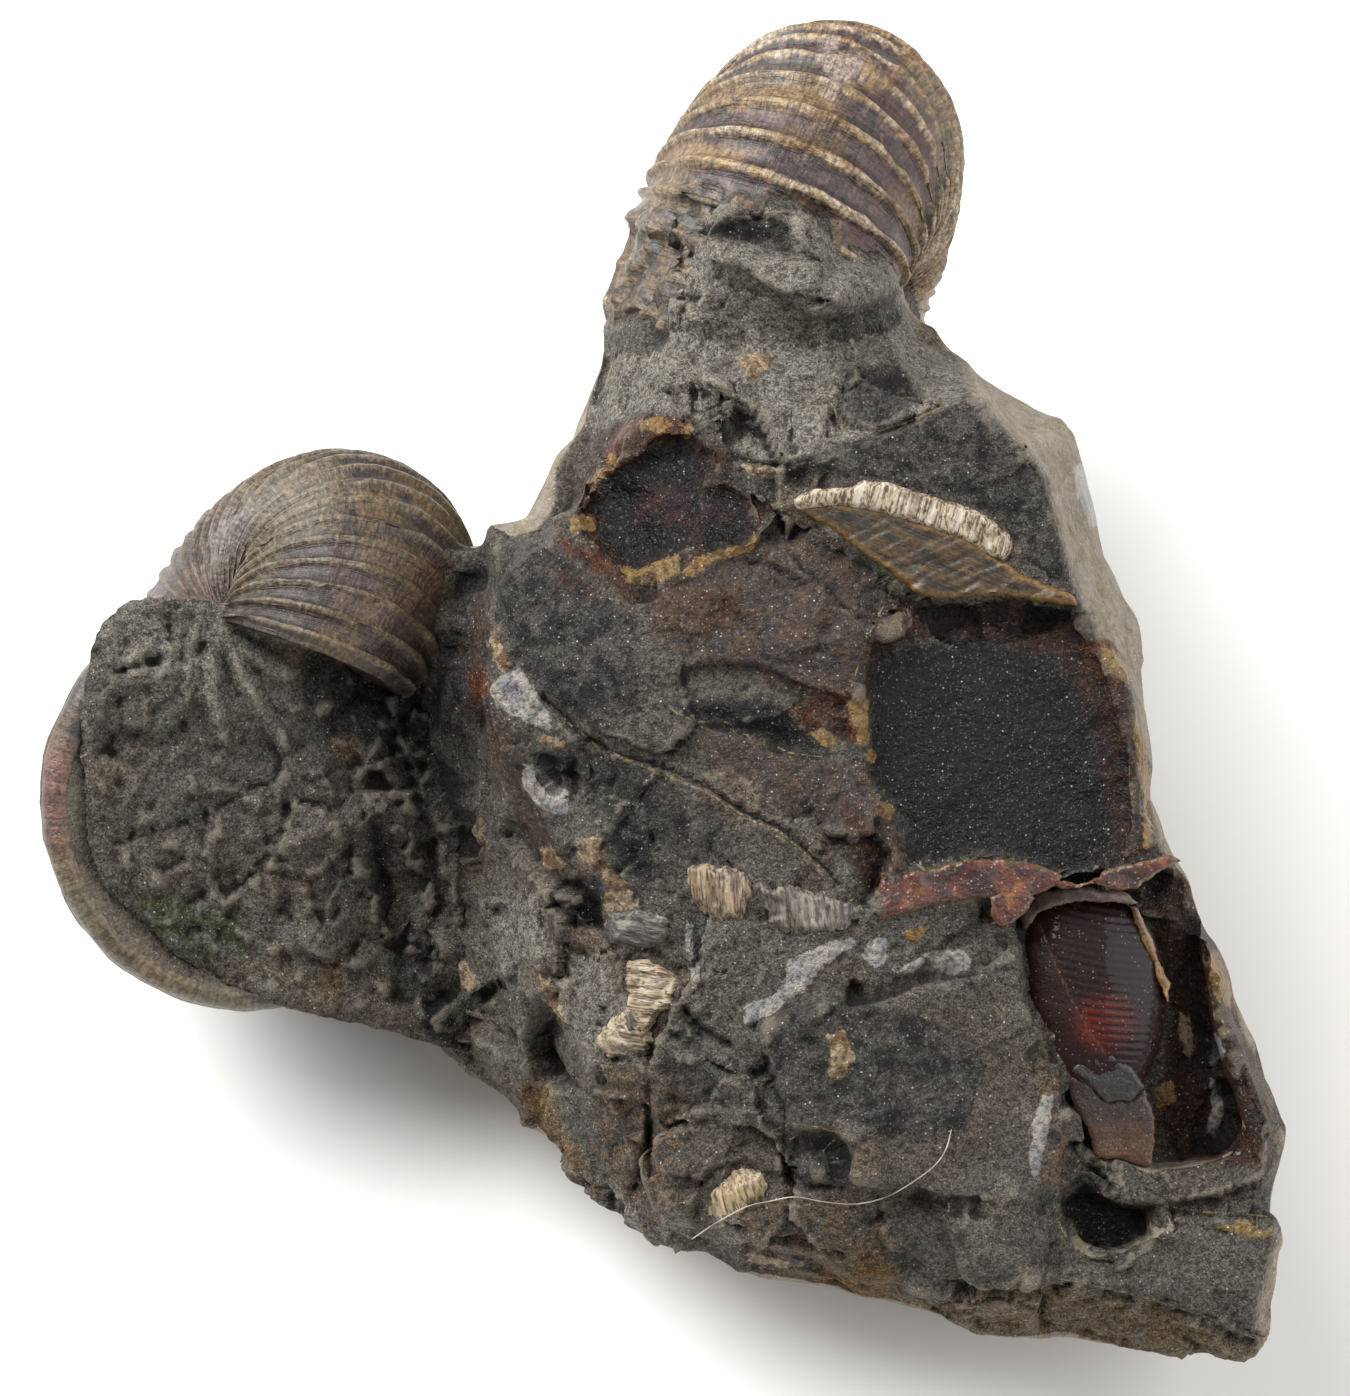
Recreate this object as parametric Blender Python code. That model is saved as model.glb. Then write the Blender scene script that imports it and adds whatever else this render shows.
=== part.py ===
"""A heteromorph ammonite in its broken nodule of mudstone, lying on its back.

The broken front face is drawn as it is seen: x to the right and y down in picture units of 0.05 mm,
and depth in millimetres towards the eye, with the middle of the front face at depth 0. place() turns
such a point into metres, tips the face back from upright and sets the nodule on the ground at Z = 0.
"""

import math
import random

import bmesh
import bpy
import numpy as np
from mathutils import Vector, noise
from mathutils.geometry import delaunay_2d_cdt, tessellate_polygon

MM = 0.001
PICTURE_UNIT = 0.05 * MM  # one unit of x or y at depth 0
PICTURE_MIDDLE = (675, 698)
EYE_DISTANCE = 250 * MM
FACE_TIP = math.radians(65)  # the eye stands this high above the ground
FACE_HEIGHT = 28.5 * MM  # the middle of the front face above the ground
FIT_GAP = 0.35 * MM  # between a piece and the rock it sits in

# The rock's face, in picture units unless a comment says otherwise
ROCK_GRID = 35  # between the relief points
GRID_ROW = 0.87  # a row's height, as a share of ROCK_GRID
GRID_JITTER = 0.27  # how far a point may stray, as a share of ROCK_GRID
GRID_CLEARANCE = 0.42  # kept free beside a step or a ridge, as a share of ROCK_GRID
STEP_SPACING = 20  # between the points along a step
STEP_HALF_WIDTH = 4  # half the run of a sharp step
RIDGE_SPACING = 26  # between the points along a ridge
RIM_CLEARANCE = 11  # kept free inside the rock's outline
LEAST_SPACING = 7  # between any two relief points
ROCK_ROUGHNESS = 0.40  # mm
LARGE_GRAIN, SMALL_GRAIN = 46, 21
SMALL_GRAIN_SHARE = 0.6

# The rock's outer wall
WALL_SPACING = 44  # between the points of the outline
WALL_RINGS = ((5, 0.10), (13, 0.32), (26, 0.6), (48, 0.86), (78, 1.0))  # inset, share of the way down
EASED_INSET = 5  # the inset for which the wall is evened out once
WALL_LUMPS = 28
LUMP_GRAIN = 90
LUMP_LAYERS = 2.5  # changes of the lumps between the wall's top and its foot
WALL_PULL = 0.06  # how far the wall's foot is drawn to the rock's middle
ROCK_MIDDLE = (825, 800)

# The shell
SHELL_SIDES = 18
CAP_SHARE = 0.55  # size of the inner ring of a domed end
CAP_PEAK = 1.2  # rise of a domed end's middle, as a share of its bulge

RNG = random.Random(41)

SIN_TIP, COS_TIP = math.sin(FACE_TIP), math.cos(FACE_TIP)


def place(x, y, depth):
    """A picture point and its depth in mm, as a point in metres."""
    towards = depth * MM
    spread = PICTURE_UNIT * (EYE_DISTANCE - towards) / EYE_DISTANCE
    across = (x - PICTURE_MIDDLE[0]) * spread
    up = (PICTURE_MIDDLE[1] - y) * spread
    return lay(Vector((across, up, towards)))


def lay(point):
    """A point given as across, up and towards the eye, laid down over the ground."""
    across, up, towards = point
    back = SIN_TIP * up - COS_TIP * towards
    return Vector((across, back, COS_TIP * up + SIN_TIP * towards + FACE_HEIGHT))


def facing(x, y, depth):
    """The same point as place() gives, but as across, up and towards the eye."""
    towards = depth * MM
    spread = PICTURE_UNIT * (EYE_DISTANCE - towards) / EYE_DISTANCE
    return Vector(((x - PICTURE_MIDDLE[0]) * spread, (PICTURE_MIDDLE[1] - y) * spread, towards))


def ground_depth(y):
    """The depth in mm at which the line of sight through a picture height meets the ground."""
    up = (PICTURE_MIDDLE[1] - y) * PICTURE_UNIT
    return -(FACE_HEIGHT + COS_TIP * up) / (SIN_TIP - COS_TIP * up / EYE_DISTANCE) / MM


def material(name, colour, roughness):
    made = bpy.data.materials.new(name)
    made.use_nodes = True
    shader = made.node_tree.nodes["Principled BSDF"]
    shader.inputs["Base Color"].default_value = (*colour, 1)
    shader.inputs["Roughness"].default_value = roughness
    shader.inputs["Metallic"].default_value = 0
    return made


def add_object(name, mesh, finish=None):
    made = bpy.data.objects.new(name, mesh)
    bpy.context.scene.collection.objects.link(made)
    if finish:
        mesh.materials.append(finish)
    return made


def mesh_from(name, points, faces):
    mesh = bpy.data.meshes.new(name)
    shape = bmesh.new()
    verts = [shape.verts.new(point) for point in points]
    for face in faces:
        shape.faces.new([verts[i] for i in face])
    bmesh.ops.triangulate(shape, faces=shape.faces)
    bmesh.ops.recalc_face_normals(shape, faces=shape.faces)
    shape.to_mesh(mesh)
    shape.free()
    return mesh


# Outlines

def walk(points, spacing, closed=True):
    """Points at about equal steps along an outline, with its own corners kept. Each has 2 or 3 numbers."""
    steps = []
    ends = points[1:] + points[:1] if closed else points[1:]
    for start, end in zip(points, ends):
        length = math.dist(start[:2], end[:2])
        count = max(1, round(length / spacing))
        for i in range(count):
            t = i / count
            steps.append(tuple(a + (b - a) * t for a, b in zip(start, end)))
    if not closed:
        steps.append(tuple(points[-1]))
    return steps


def push_out(points, amount):
    """A closed outline with each point moved outwards by an amount, or inwards by a negative one."""
    area = sum(a[0] * b[1] - b[0] * a[1] for a, b in zip(points, points[1:] + points[:1]))
    turn = 1 if area > 0 else -1
    moved = []
    for i, here in enumerate(points):
        before, after = points[i - 1], points[(i + 1) % len(points)]
        run = Vector((after[0] - before[0], after[1] - before[1]))
        run = run.normalized() if run.length > 0 else Vector((1, 0))
        moved.append((here[0] + turn * run.y * amount, here[1] - turn * run.x * amount, *here[2:]))
    return moved


def even_out(points, rounds):
    """A closed outline with each point drawn towards its neighbours, so that a deep inset can't cross."""
    for _ in range(rounds):
        ahead = points[1:] + points[:1]
        behind = points[-1:] + points[:-1]
        points = [tuple(0.5 * here + 0.25 * (before + after) for before, here, after in zip(*three))
                  for three in zip(behind, points, ahead)]
    return points


def inside(points, outline):
    """Which of the points lie in a closed outline."""
    x, y = points[:, 0], points[:, 1]
    found = np.zeros(len(points), bool)
    for start, end in zip(outline, outline[1:] + outline[:1]):
        crosses = (start[1] > y) != (end[1] > y)
        rise = (end[1] - start[1]) or 1e-9
        found ^= crosses & (x < (end[0] - start[0]) * (y - start[1]) / rise + start[0])
    return found


def nearest(points, outline, closed=True):
    """How far each point is from an outline."""
    best = np.full(len(points), 1e9)
    ends = outline[1:] + outline[:1] if closed else outline[1:]
    for start, end in zip(outline, ends):
        a, b = np.array(start[:2], float), np.array(end[:2], float)
        run = b - a
        t = np.clip(((points - a) @ run) / max(run @ run, 1e-9), 0, 1)
        best = np.minimum(best, np.linalg.norm(points - (a + t[:, None] * run), axis=1))
    return best


# The rock: its outline clockwise from the foot of the tower, with the depth of its edge

ROCK_OUTLINE = [
    (604, 336, -11), (626, 322, -9.5), (640, 296, -8.5), (650, 255, -8), (652, 215, -7),
    (684, 209, -6), (692, 188, -5.5), (738, 196, -5), (800, 201, -5), (822, 207, -5.5),
    (832, 228, -5.5), (850, 246, -6), (874, 252, -7),
    (897, 266, -9), (908, 288, -12), (922, 318, -15), (948, 322, -16), (949, 342, -15), (969, 355, -13),
    (983, 374, -12), (1013, 390, -11), (1038, 412, -11), (1060, 415, -10), (1076, 431, -10),
    (1090, 478, -11), (1105, 544, -12), (1123, 585, -11), (1142, 620, -10), (1149, 670, -8),
    (1155, 755, -5), (1153, 800, -3.5), (1177, 847, -4), (1190, 882, -5), (1202, 912, -6),
    (1234, 965, -6), (1246, 1017, -6), (1264, 1065, -6), (1279, 1096, -6), (1290, 1133, -6),
    (1286, 1173, -6), (1280, 1216, -6), (1282, 1245, -5), (1276, 1274, -5), (1275, 1297, -5),
    (1282, 1343, -5.5), (1273, 1363, -6), (1216, 1358, -6.5), (1158, 1358, -6.5), (1101, 1354, -6.5),
    (1020, 1350, -6.5), (986, 1343, -6.5), (934, 1321, -6.5), (900, 1316, -6.5), (851, 1308, -7),
    (793, 1299, -7), (755, 1291, -7), (736, 1280, -7), (723, 1264, -7), (707, 1251, -7.5),
    (688, 1246, -8), (650, 1241, -8.5), (621, 1227, -9), (592, 1206, -10), (564, 1181, -11),
    (538, 1153, -12.5), (519, 1121, -14), (486, 1093, -16), (471, 1070, -17), (440, 1056, -18.5),
    (408, 1030, -20), (385, 960, -22), (375, 850, -23), (380, 740, -23), (400, 640, -22),
    (436, 590, -20), (468, 566, -15), (475, 545, -12), (484, 527, -10), (497, 522, -9),
    (524, 520, -8), (537, 500, -9), (560, 450, -10), (583, 400, -11), (598, 356, -11.5),
]

# Points of the rock's face away from its ledges
ROCK_POINTS = [
    (705, 240, -3.4), (760, 225, -3.2), (800, 250, -2.6), (850, 275, -3.2), (880, 290, -5),
    (700, 285, -3), (760, 285, -1.8), (830, 300, -1.6), (660, 300, -6), (660, 350, -4.5),
    (705, 345, -2.8), (740, 340, -3.6), (800, 350, -3.6), (860, 345, -4.4), (905, 345, -6),
    (640, 395, -3.5), (612, 420, -6), (616, 372, -7.5), (640, 345, -6.2), (700, 395, -1.2),
    (760, 385, -1.6), (820, 395, -1.8), (880, 380, -2.6), (930, 375, -4), (585, 470, -5),
    (610, 450, -2.5), (650, 425, -1.4), (690, 425, -0.8), (740, 450, -0.5), (800, 460, -0.3),
    (870, 450, 0), (940, 420, -0.2), (555, 520, -3.5), (520, 560, -2.8), (500, 600, -3.6),
    (490, 560, -6.5), (475, 620, -8), (560, 580, -1.2), (600, 620, -0.5), (560, 660, -0.8),
    (640, 640, -0.2), (600, 700, -0.3), (530, 640, -2), (515, 700, -3), (480, 700, -6.5),
    (500, 770, -5.8), (540, 760, -3), (560, 800, -3.2), (600, 760, -1), (640, 790, -0.8),
    (700, 820, -0.5), (760, 860, -0.3), (740, 700, 0), (700, 600, -0.1), (780, 620, 0.1),
    (840, 640, 0.1), (800, 780, 0), (840, 820, 0), (820, 880, 0), (700, 880, -0.8),
    (640, 860, -1.6), (580, 870, -3), (530, 860, -6), (500, 850, -9), (470, 780, -11.5),
    (450, 860, -14), (455, 960, -14.5), (440, 700, -14), (430, 1020, -16.5), (480, 920, -11.5),
    (520, 930, -8), (560, 940, -5), (600, 930, -3), (640, 940, -2), (700, 950, -0.8),
    (740, 960, -0.3), (500, 1000, -11), (540, 1010, -7), (580, 1020, -4.6), (620, 1020, -2.4),
    (680, 1010, -1), (720, 1040, -0.4), (520, 1070, -11), (560, 1080, -7.5), (610, 1090, -4.5),
    (660, 1090, -2.6), (720, 1110, -1.2), (580, 1150, -8), (630, 1160, -5), (680, 1170, -2.8),
    (740, 1170, -1.2), (660, 1215, -5.5), (720, 1220, -3), (780, 1220, -1.2), (760, 1262, -3.6),
    (840, 1240, -1), (900, 1240, -1.2), (850, 1285, -3.8), (920, 1290, -3.6), (980, 1230, -0.6),
    (1000, 1280, -2), (1030, 1320, -4), (1100, 1325, -4), (1180, 1335, -4), (880, 1190, 0.2),
    (1100, 1270, -2.4), (1200, 1280, -2.2), (1250, 1250, -2.4), (1200, 1200, -2.4),
    (1080, 1165, -2.4), (1180, 1150, -3.2), (1240, 1140, -3.4), (1000, 640, -0.4), (960, 590, 0),
    (1060, 560, 0.2), (1030, 480, 0.2), (980, 440, 0.1), (900, 560, 0.1), (1090, 650, -0.6),
]

# Ridges and creases that run across the face
ROCK_LINES = [
    # the edge between the front face and the side that falls away at the right
    [(975, 396, -0.2), (994, 418, 0.2), (1024, 448, 0.3), (1046, 478, 0.3), (1054, 516, 0.2),
     (1068, 563, 0), (1082, 607, -0.2), (1096, 644, -0.6), (1126, 675, -0.8), (1136, 722, -1),
     (1144, 751, -1), (1150, 800, -1.2), (1162, 852, -1.2), (1184, 873, -1.2), (1197, 908, -1.4),
     (1208, 949, -1.6), (1221, 1010, -1.8), (1251, 1073, -2), (1272, 1128, -2.4), (1272, 1195, -2.6),
     (1266, 1252, -2.6), (1255, 1302, -2.8), (1256, 1346, -4)],
    # the lower edge of the front face
    [(760, 1245, -2), (842, 1268, -1.8), (937, 1290, -2.2), (1046, 1277, -2.2), (1101, 1288, -2.4),
     (1144, 1294, -2.6), (1187, 1311, -2.8), (1230, 1331, -3.4)],
    # the line along which the left side starts to fall away
    [(484, 690, -4.5), (500, 740, -4.2), (523, 815, -4.2), (560, 880, -3.6), (590, 950, -3.2)],
]

# Steps in the face: an outline, how far its inside stands out in mm, and the width of its edge
ROCK_STEPS = {
    "slab_by_the_upper_whorl": (
        [(700, 215), (735, 204), (800, 206), (826, 232), (860, 255), (893, 270), (889, 294), (868, 303),
         (837, 314), (808, 322), (777, 294), (745, 275), (705, 262)], 1.3),
    "hollow_under_that_slab": (
        [(768, 322), (808, 332), (850, 328), (886, 318), (890, 338), (850, 348), (800, 345),
         (772, 338)], -1.2),
    "grey_block": ([(704, 374), (730, 376), (742, 400), (736, 420), (712, 415)], 0.8),
    "black_chamber": (
        [(600, 476), (625, 466), (650, 455), (654, 443), (687, 442), (705, 457), (704, 487), (721, 487),
         (740, 502), (756, 521), (744, 536), (717, 548), (689, 545), (655, 558), (632, 568), (608, 549),
         (593, 524), (585, 508)], -0.9),
    "leaf_hollow": (
        [(655, 690), (698, 664), (760, 668), (800, 690), (860, 706), (862, 738), (828, 748), (778, 748),
         (734, 732), (689, 717)], -0.5),
    "large_black_face": (
        [(868, 640), (930, 622), (1000, 612), (1070, 622), (1100, 660), (1110, 700), (1128, 760),
         (1132, 820), (1118, 862), (1059, 876), (1029, 863), (995, 856), (944, 866), (907, 870),
         (893, 812), (875, 779), (865, 697)], -1.0),
    "lower_right_block": (
        [(757, 1025), (790, 1010), (828, 1000), (889, 993), (920, 982), (974, 976), (1017, 940),
         (1026, 998), (1042, 1025), (1064, 1042), (1067, 1064), (1070, 1152), (1042, 1190),
         (1026, 1205), (938, 1202), (860, 1192), (793, 1185), (784, 1105), (768, 1083)], 1.2),
    "notch_in_that_block": ([(784, 1135), (830, 1130), (853, 1150), (846, 1180), (796, 1184)], -1.5),
    "shell_cavity": (
        [(1024, 920), (1060, 884), (1126, 886), (1160, 872), (1180, 884), (1196, 930), (1206, 990),
         (1218, 1050), (1236, 1100), (1246, 1150), (1160, 1166), (1090, 1150), (1070, 1060),
         (1032, 1000)], -3.2),
    "oval_hole": (
        [(1058, 1193), (1084, 1182), (1118, 1205), (1161, 1211), (1158, 1228), (1121, 1251),
         (1088, 1248), (1070, 1236)], -2.4),
    "dark_pit_at_the_left": (
        [(537, 757), (560, 750), (575, 765), (572, 788), (552, 792), (538, 772)], -1.0),
    "rounded_lump": (
        [(943, 1216), (980, 1208), (1036, 1214), (1046, 1240), (1030, 1284), (960, 1290)], 0.9),
    "lower_left_step": (
        [(470, 1000), (500, 985), (530, 1000), (560, 1040), (590, 1075), (640, 1090), (650, 1180),
         (620, 1215), (560, 1170), (510, 1100), (470, 1050)], -0.9),
}


def coarse_depth():
    """The rock's large form, as a triangulated net over the hand-set points."""
    points, edges = [], []
    for x, y, depth in ROCK_OUTLINE:
        points.append((x, y, depth))
    edges += [(i, (i + 1) % len(points)) for i in range(len(points))]
    points += ROCK_POINTS
    for line in ROCK_LINES:
        first = len(points)
        points += line
        edges += [(first + i, first + i + 1) for i in range(len(line) - 1)]
    flat = [Vector(point[:2]) for point in points]
    verts, _, faces, sources, _, _ = delaunay_2d_cdt(flat, edges, [], 0, 0.5)
    depths = [points[source[0]][2] if source else None for source in sources]
    kept = [face for face in faces if all(depths[i] is not None for i in face)]
    return verts, depths, kept


def depth_at(spots, net):
    """The net's depth at each spot, by its weights in the triangle that holds it."""
    verts, depths, faces = net
    result = np.full(len(spots), np.nan)
    for a, b, c in faces:
        pa, pb, pc = (np.array(verts[i][:], float) for i in (a, b, c))
        base = (pb[0] - pa[0]) * (pc[1] - pa[1]) - (pc[0] - pa[0]) * (pb[1] - pa[1])
        if abs(base) < 1e-6:
            continue
        dx, dy = spots[:, 0] - pa[0], spots[:, 1] - pa[1]
        s = (dx * (pc[1] - pa[1]) - (pc[0] - pa[0]) * dy) / base
        t = ((pb[0] - pa[0]) * dy - dx * (pb[1] - pa[1])) / base
        hit = (s > -1e-4) & (t > -1e-4) & (s + t < 1 + 1e-4)
        result[hit] = depths[a] + s[hit] * (depths[b] - depths[a]) + t[hit] * (depths[c] - depths[a])
    return result


def relief_grid():
    """A loose grid over the rock's face, kept off its steps and ridges."""
    left, right = (limit(x for x, _, _ in ROCK_OUTLINE) for limit in (min, max))
    top, bottom = (limit(y for _, y, _ in ROCK_OUTLINE) for limit in (min, max))
    jitter = ROCK_GRID * GRID_JITTER
    grid = []
    for row in range(round((bottom - top) / (ROCK_GRID * GRID_ROW)) + 1):
        for column in range(round((right - left) / ROCK_GRID) + 1):
            x = left + (column + row % 2 / 2) * ROCK_GRID
            y = top + row * ROCK_GRID * GRID_ROW
            grid.append((x + RNG.uniform(-jitter, jitter), y + RNG.uniform(-jitter, jitter)))
    grid = np.array(grid)
    free = np.ones(len(grid), bool)
    for step_outline, _ in ROCK_STEPS.values():
        free &= nearest(grid, step_outline) > ROCK_GRID * GRID_CLEARANCE
    for line in ROCK_LINES:
        free &= nearest(grid, line, closed=False) > ROCK_GRID * GRID_CLEARANCE
    return grid[free]


def rock_relief():
    """Spots over the rock's face with their depths: a loose grid, and two lines along every step."""
    outline = walk(ROCK_OUTLINE, WALL_SPACING)
    flat_outline = [point[:2] for point in outline]
    spots = []
    for step_outline, _ in ROCK_STEPS.values():
        for side in (STEP_HALF_WIDTH, -STEP_HALF_WIDTH):
            spots += walk(push_out(step_outline, side), STEP_SPACING)
    for line in ROCK_LINES:
        spots += [point[:2] for point in walk(line, RIDGE_SPACING, closed=False)]
    spots = np.concatenate([np.array(spots, float), relief_grid()])
    spots = spots[inside(spots, flat_outline) & (nearest(spots, flat_outline) > RIM_CLEARANCE)]
    kept = []
    for spot in spots:
        if not kept or np.min(np.linalg.norm(np.array(kept) - spot, axis=1)) > LEAST_SPACING:
            kept.append(spot)
    spots = np.array(kept)
    depths = depth_at(spots, coarse_depth())
    for step_outline, rise in ROCK_STEPS.values():
        depths[inside(spots, step_outline)] += rise
    for i, (x, y) in enumerate(spots):
        large = noise.noise(Vector((x, y, 0)) / LARGE_GRAIN + Vector((0, 0, 3)))
        small = noise.noise(Vector((x, y, 0)) / SMALL_GRAIN + Vector((0, 0, 9)))
        depths[i] += ROCK_ROUGHNESS * (large + SMALL_GRAIN_SHARE * small)
    return outline, spots, depths


def make_rock(finish):
    outline, spots, depths = rock_relief()
    flat = [Vector(point[:2]) for point in outline] + [Vector(spot) for spot in spots]
    rim = len(outline)
    ring = [(i, (i + 1) % rim) for i in range(rim)]
    verts, _, faces, sources, _, _ = delaunay_2d_cdt(flat, ring, [list(range(rim))], 1, 0.5)
    levels = [point[2] for point in outline] + list(depths)
    points = [place(vert.x, vert.y, levels[source[0]]) for vert, source in zip(verts, sources)]
    faces = [tuple(face) for face in faces]
    number = {source[0]: i for i, source in enumerate(sources)}
    last = [number[i] for i in range(rim)]
    for inset, down in WALL_RINGS:
        loop = []
        moved = even_out(push_out(outline, -inset), inset // EASED_INSET)
        for (x, y, _), (_, _, edge) in zip(moved, outline):
            floor = ground_depth(y)
            depth = edge + (floor - edge) * down
            spread = Vector((x / LUMP_GRAIN, y / LUMP_GRAIN, down * LUMP_LAYERS))
            lump = WALL_LUMPS * math.sin(math.pi * down) * noise.noise(spread)
            x += lump + (ROCK_MIDDLE[0] - x) * WALL_PULL * down
            y += lump + (ROCK_MIDDLE[1] - y) * WALL_PULL * down
            spot = place(x, y, depth)
            if down == 1:
                spot.z = 0
            loop.append(len(points))
            points.append(spot)
        for i in range(rim):
            j = (i + 1) % rim
            faces.append((last[i], last[j], loop[j], loop[i]))
        last = loop
    base = tessellate_polygon([[Vector((points[i].x, points[i].y, 0)) for i in last]])
    faces += [tuple(last[k] for k in face) for face in base]
    return add_object("rock_matrix", mesh_from("rock_matrix", points, faces), finish)


# The ribbed limbs: a tube that turns about an axis so tightly that its inner side is flat

TURN_HOLLOW = 0.45 * MM  # the least distance of the tube's skin from the axis that it turns about


class Bend:
    """A turn of the tube: its middle, three directions and sizes in mm, as seen from the eye."""

    def __init__(self, middle, front, up, turn_radius, half_height, half_width, growth, slide):
        self.middle = facing(*middle)
        self.front = Vector(front).normalized()
        self.up = (Vector(up) - Vector(up).project(self.front)).normalized()
        self.side = self.up.cross(self.front)
        self.turn_radius = turn_radius * MM
        self.half_height = half_height * MM
        self.half_width = half_width * MM
        self.growth = growth
        self.slide = slide

    def ring(self, angle, swell, straight=0.0):
        """The tube's cross-section at an angle, with the height of its surface over the groove in mm."""
        size = math.exp(self.growth * angle)
        out = math.cos(angle) * self.front + math.sin(angle) * self.up
        along = -math.sin(angle) * self.front + math.cos(angle) * self.up
        shift = self.side * self.slide(angle) * MM + along * straight * MM
        points = []
        for i in range(SHELL_SIDES):
            turn = 2 * math.pi * i / SHELL_SIDES
            reach = (self.half_height * size + swell * MM) * math.cos(turn)
            wide = (self.half_width * size + swell * MM) * math.sin(turn)
            away = self.turn_radius * size + reach
            away = max(TURN_HOLLOW, away)
            points.append(self.middle + shift + out * away + self.side * wide)
        return points

    def keep_below(self, point, angle):
        """The point, moved down where it would cross the axis into the part of the turn above it."""
        below = (self.middle - point).dot(self.up)
        least = TURN_HOLLOW * math.sin(angle - math.pi)
        return point - self.up * max(0, least - below)


def loft(name, rings, finish=None, bulges=(0.6, 0.6)):
    """One closed skin over rings of points that have the same count, with each end domed by mm."""
    sides = len(rings[0])
    points = [lay(point) for ring in rings for point in ring]
    faces = []
    for k in range(len(rings) - 1):
        for i in range(sides):
            j = (i + 1) % sides
            faces.append((k * sides + i, k * sides + j, (k + 1) * sides + j, (k + 1) * sides + i))
    ends = ((rings[0], 0, rings[1], bulges[0]), (rings[-1], (len(rings) - 1) * sides, rings[-2], bulges[1]))
    for ring, first, beyond, bulge in ends:
        middle = sum(ring, Vector()) / sides
        step = middle - sum(beyond, Vector()) / sides
        step = step.normalized() * bulge * MM
        half = [middle + (point - middle) * CAP_SHARE + step for point in ring]
        start = len(points)
        points += [lay(point) for point in half]
        points.append(lay(middle + step * CAP_PEAK))
        for i in range(sides):
            j = (i + 1) % sides
            faces.append((first + i, first + j, start + j, start + i))
            faces.append((start + i, start + j, start + sides))
    return add_object(name, mesh_from(name, points, faces), finish)


UPPER_BEND = Bend(
    middle=(771, 258, -18), front=(-0.068, -0.02, 0.998), up=(0.357, 0.933, 0.043),
    turn_radius=5.7, half_height=7.75, half_width=7.0, growth=-0.0225, slide=lambda angle: 0.67 * angle)
UPPER_RIB_ANGLE = math.radians(9.3)
UPPER_RIB_HEIGHT = 0.34
UPPER_STRAIGHT_STEP = 1.05  # mm, half a rib along the straight limbs
UPPER_STRAIGHT = (7.5, 3.0)  # mm of straight limb below the near and the far end of the bend

LEFT_BEND = Bend(
    middle=(285, 654, -14.6), front=(0.295, -0.231, 0.927), up=(0.426, 0.9, 0.089),
    turn_radius=3.46, half_height=5.0, half_width=4.95, growth=0.173,
    slide=lambda angle: 1.38 * min(angle, 1.3) + 0.42 * max(0, angle - 1.3))
LEFT_RIB_ANGLE = math.radians(8.9)
LEFT_RIB_HEIGHT = 0.32
LEFT_BULGES = (-0.4, 0.6)  # mm: the hidden end is hollow and the break swells
LEFT_START, LEFT_END = math.radians(12), math.radians(262)
BREAK_EASE_FROM = math.radians(196)
BREAK_RUN = 14  # mm, how far back the round shape of the break would reach if the limb were straight
BREAK_MIDDLE = (257, 800, -10.5)  # the middle of the left limb's rock-filled break
BREAK_RADIUS = 11.1  # mm
BREAK_FACING = Vector((0.24, -0.04, 0.97)).normalized()
BREAK_DOWN = Vector((-0.25, -0.97, 0))  # where the break's ring starts

# How far apart a socket's rings are
UPPER_SOCKET_ANGLE, UPPER_SOCKET_STEP = math.radians(13), 1.5
LEFT_SOCKET_ANGLE = math.radians(10)
LEFT_GAP_SHARE = 1.4  # the left whorl's flats between rings need more than the plain gap
SOCKET_BULGE = 1.2  # mm


def upper_stations(step_angle, straight_step):
    """Angle and straight run of each ring of the upper whorl, from its near end to its far end."""
    near, far = UPPER_STRAIGHT
    near_count, far_count = round(near / straight_step), round(far / straight_step)
    turn_count = round(math.pi / step_angle)
    below = [(0.0, near * (i / near_count - 1)) for i in range(near_count)]
    turn = [(math.pi * i / turn_count, 0.0) for i in range(turn_count + 1)]
    beyond = [(math.pi, far * i / far_count) for i in range(1, far_count + 1)]
    return below + turn + beyond


def make_upper_whorl(finish):
    rings = []
    for i, (angle, straight) in enumerate(upper_stations(UPPER_RIB_ANGLE / 2, UPPER_STRAIGHT_STEP)):
        swell = UPPER_RIB_HEIGHT if i % 2 else 0
        rings.append(UPPER_BEND.ring(angle, swell, straight))
    return loft("upper_whorl", rings, finish)


def upper_cutter():
    rings = [UPPER_BEND.ring(angle, UPPER_RIB_HEIGHT + FIT_GAP / MM, straight)
             for angle, straight in upper_stations(UPPER_SOCKET_ANGLE, UPPER_SOCKET_STEP)]
    return loft("upper_whorl_socket", rings, bulges=(SOCKET_BULGE, SOCKET_BULGE))


def break_ring(swell, back):
    """A ring of the left limb just behind its break, as round as the break is."""
    middle = facing(*BREAK_MIDDLE) - BREAK_FACING * back * MM
    down = (BREAK_DOWN - BREAK_DOWN.project(BREAK_FACING)).normalized()
    across = down.cross(BREAK_FACING)
    radius = (BREAK_RADIUS + swell) * MM
    turns = [2 * math.pi * i / SHELL_SIDES for i in range(SHELL_SIDES)]
    return [middle + down * radius * math.cos(turn) - across * radius * math.sin(turn) for turn in turns]


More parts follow.
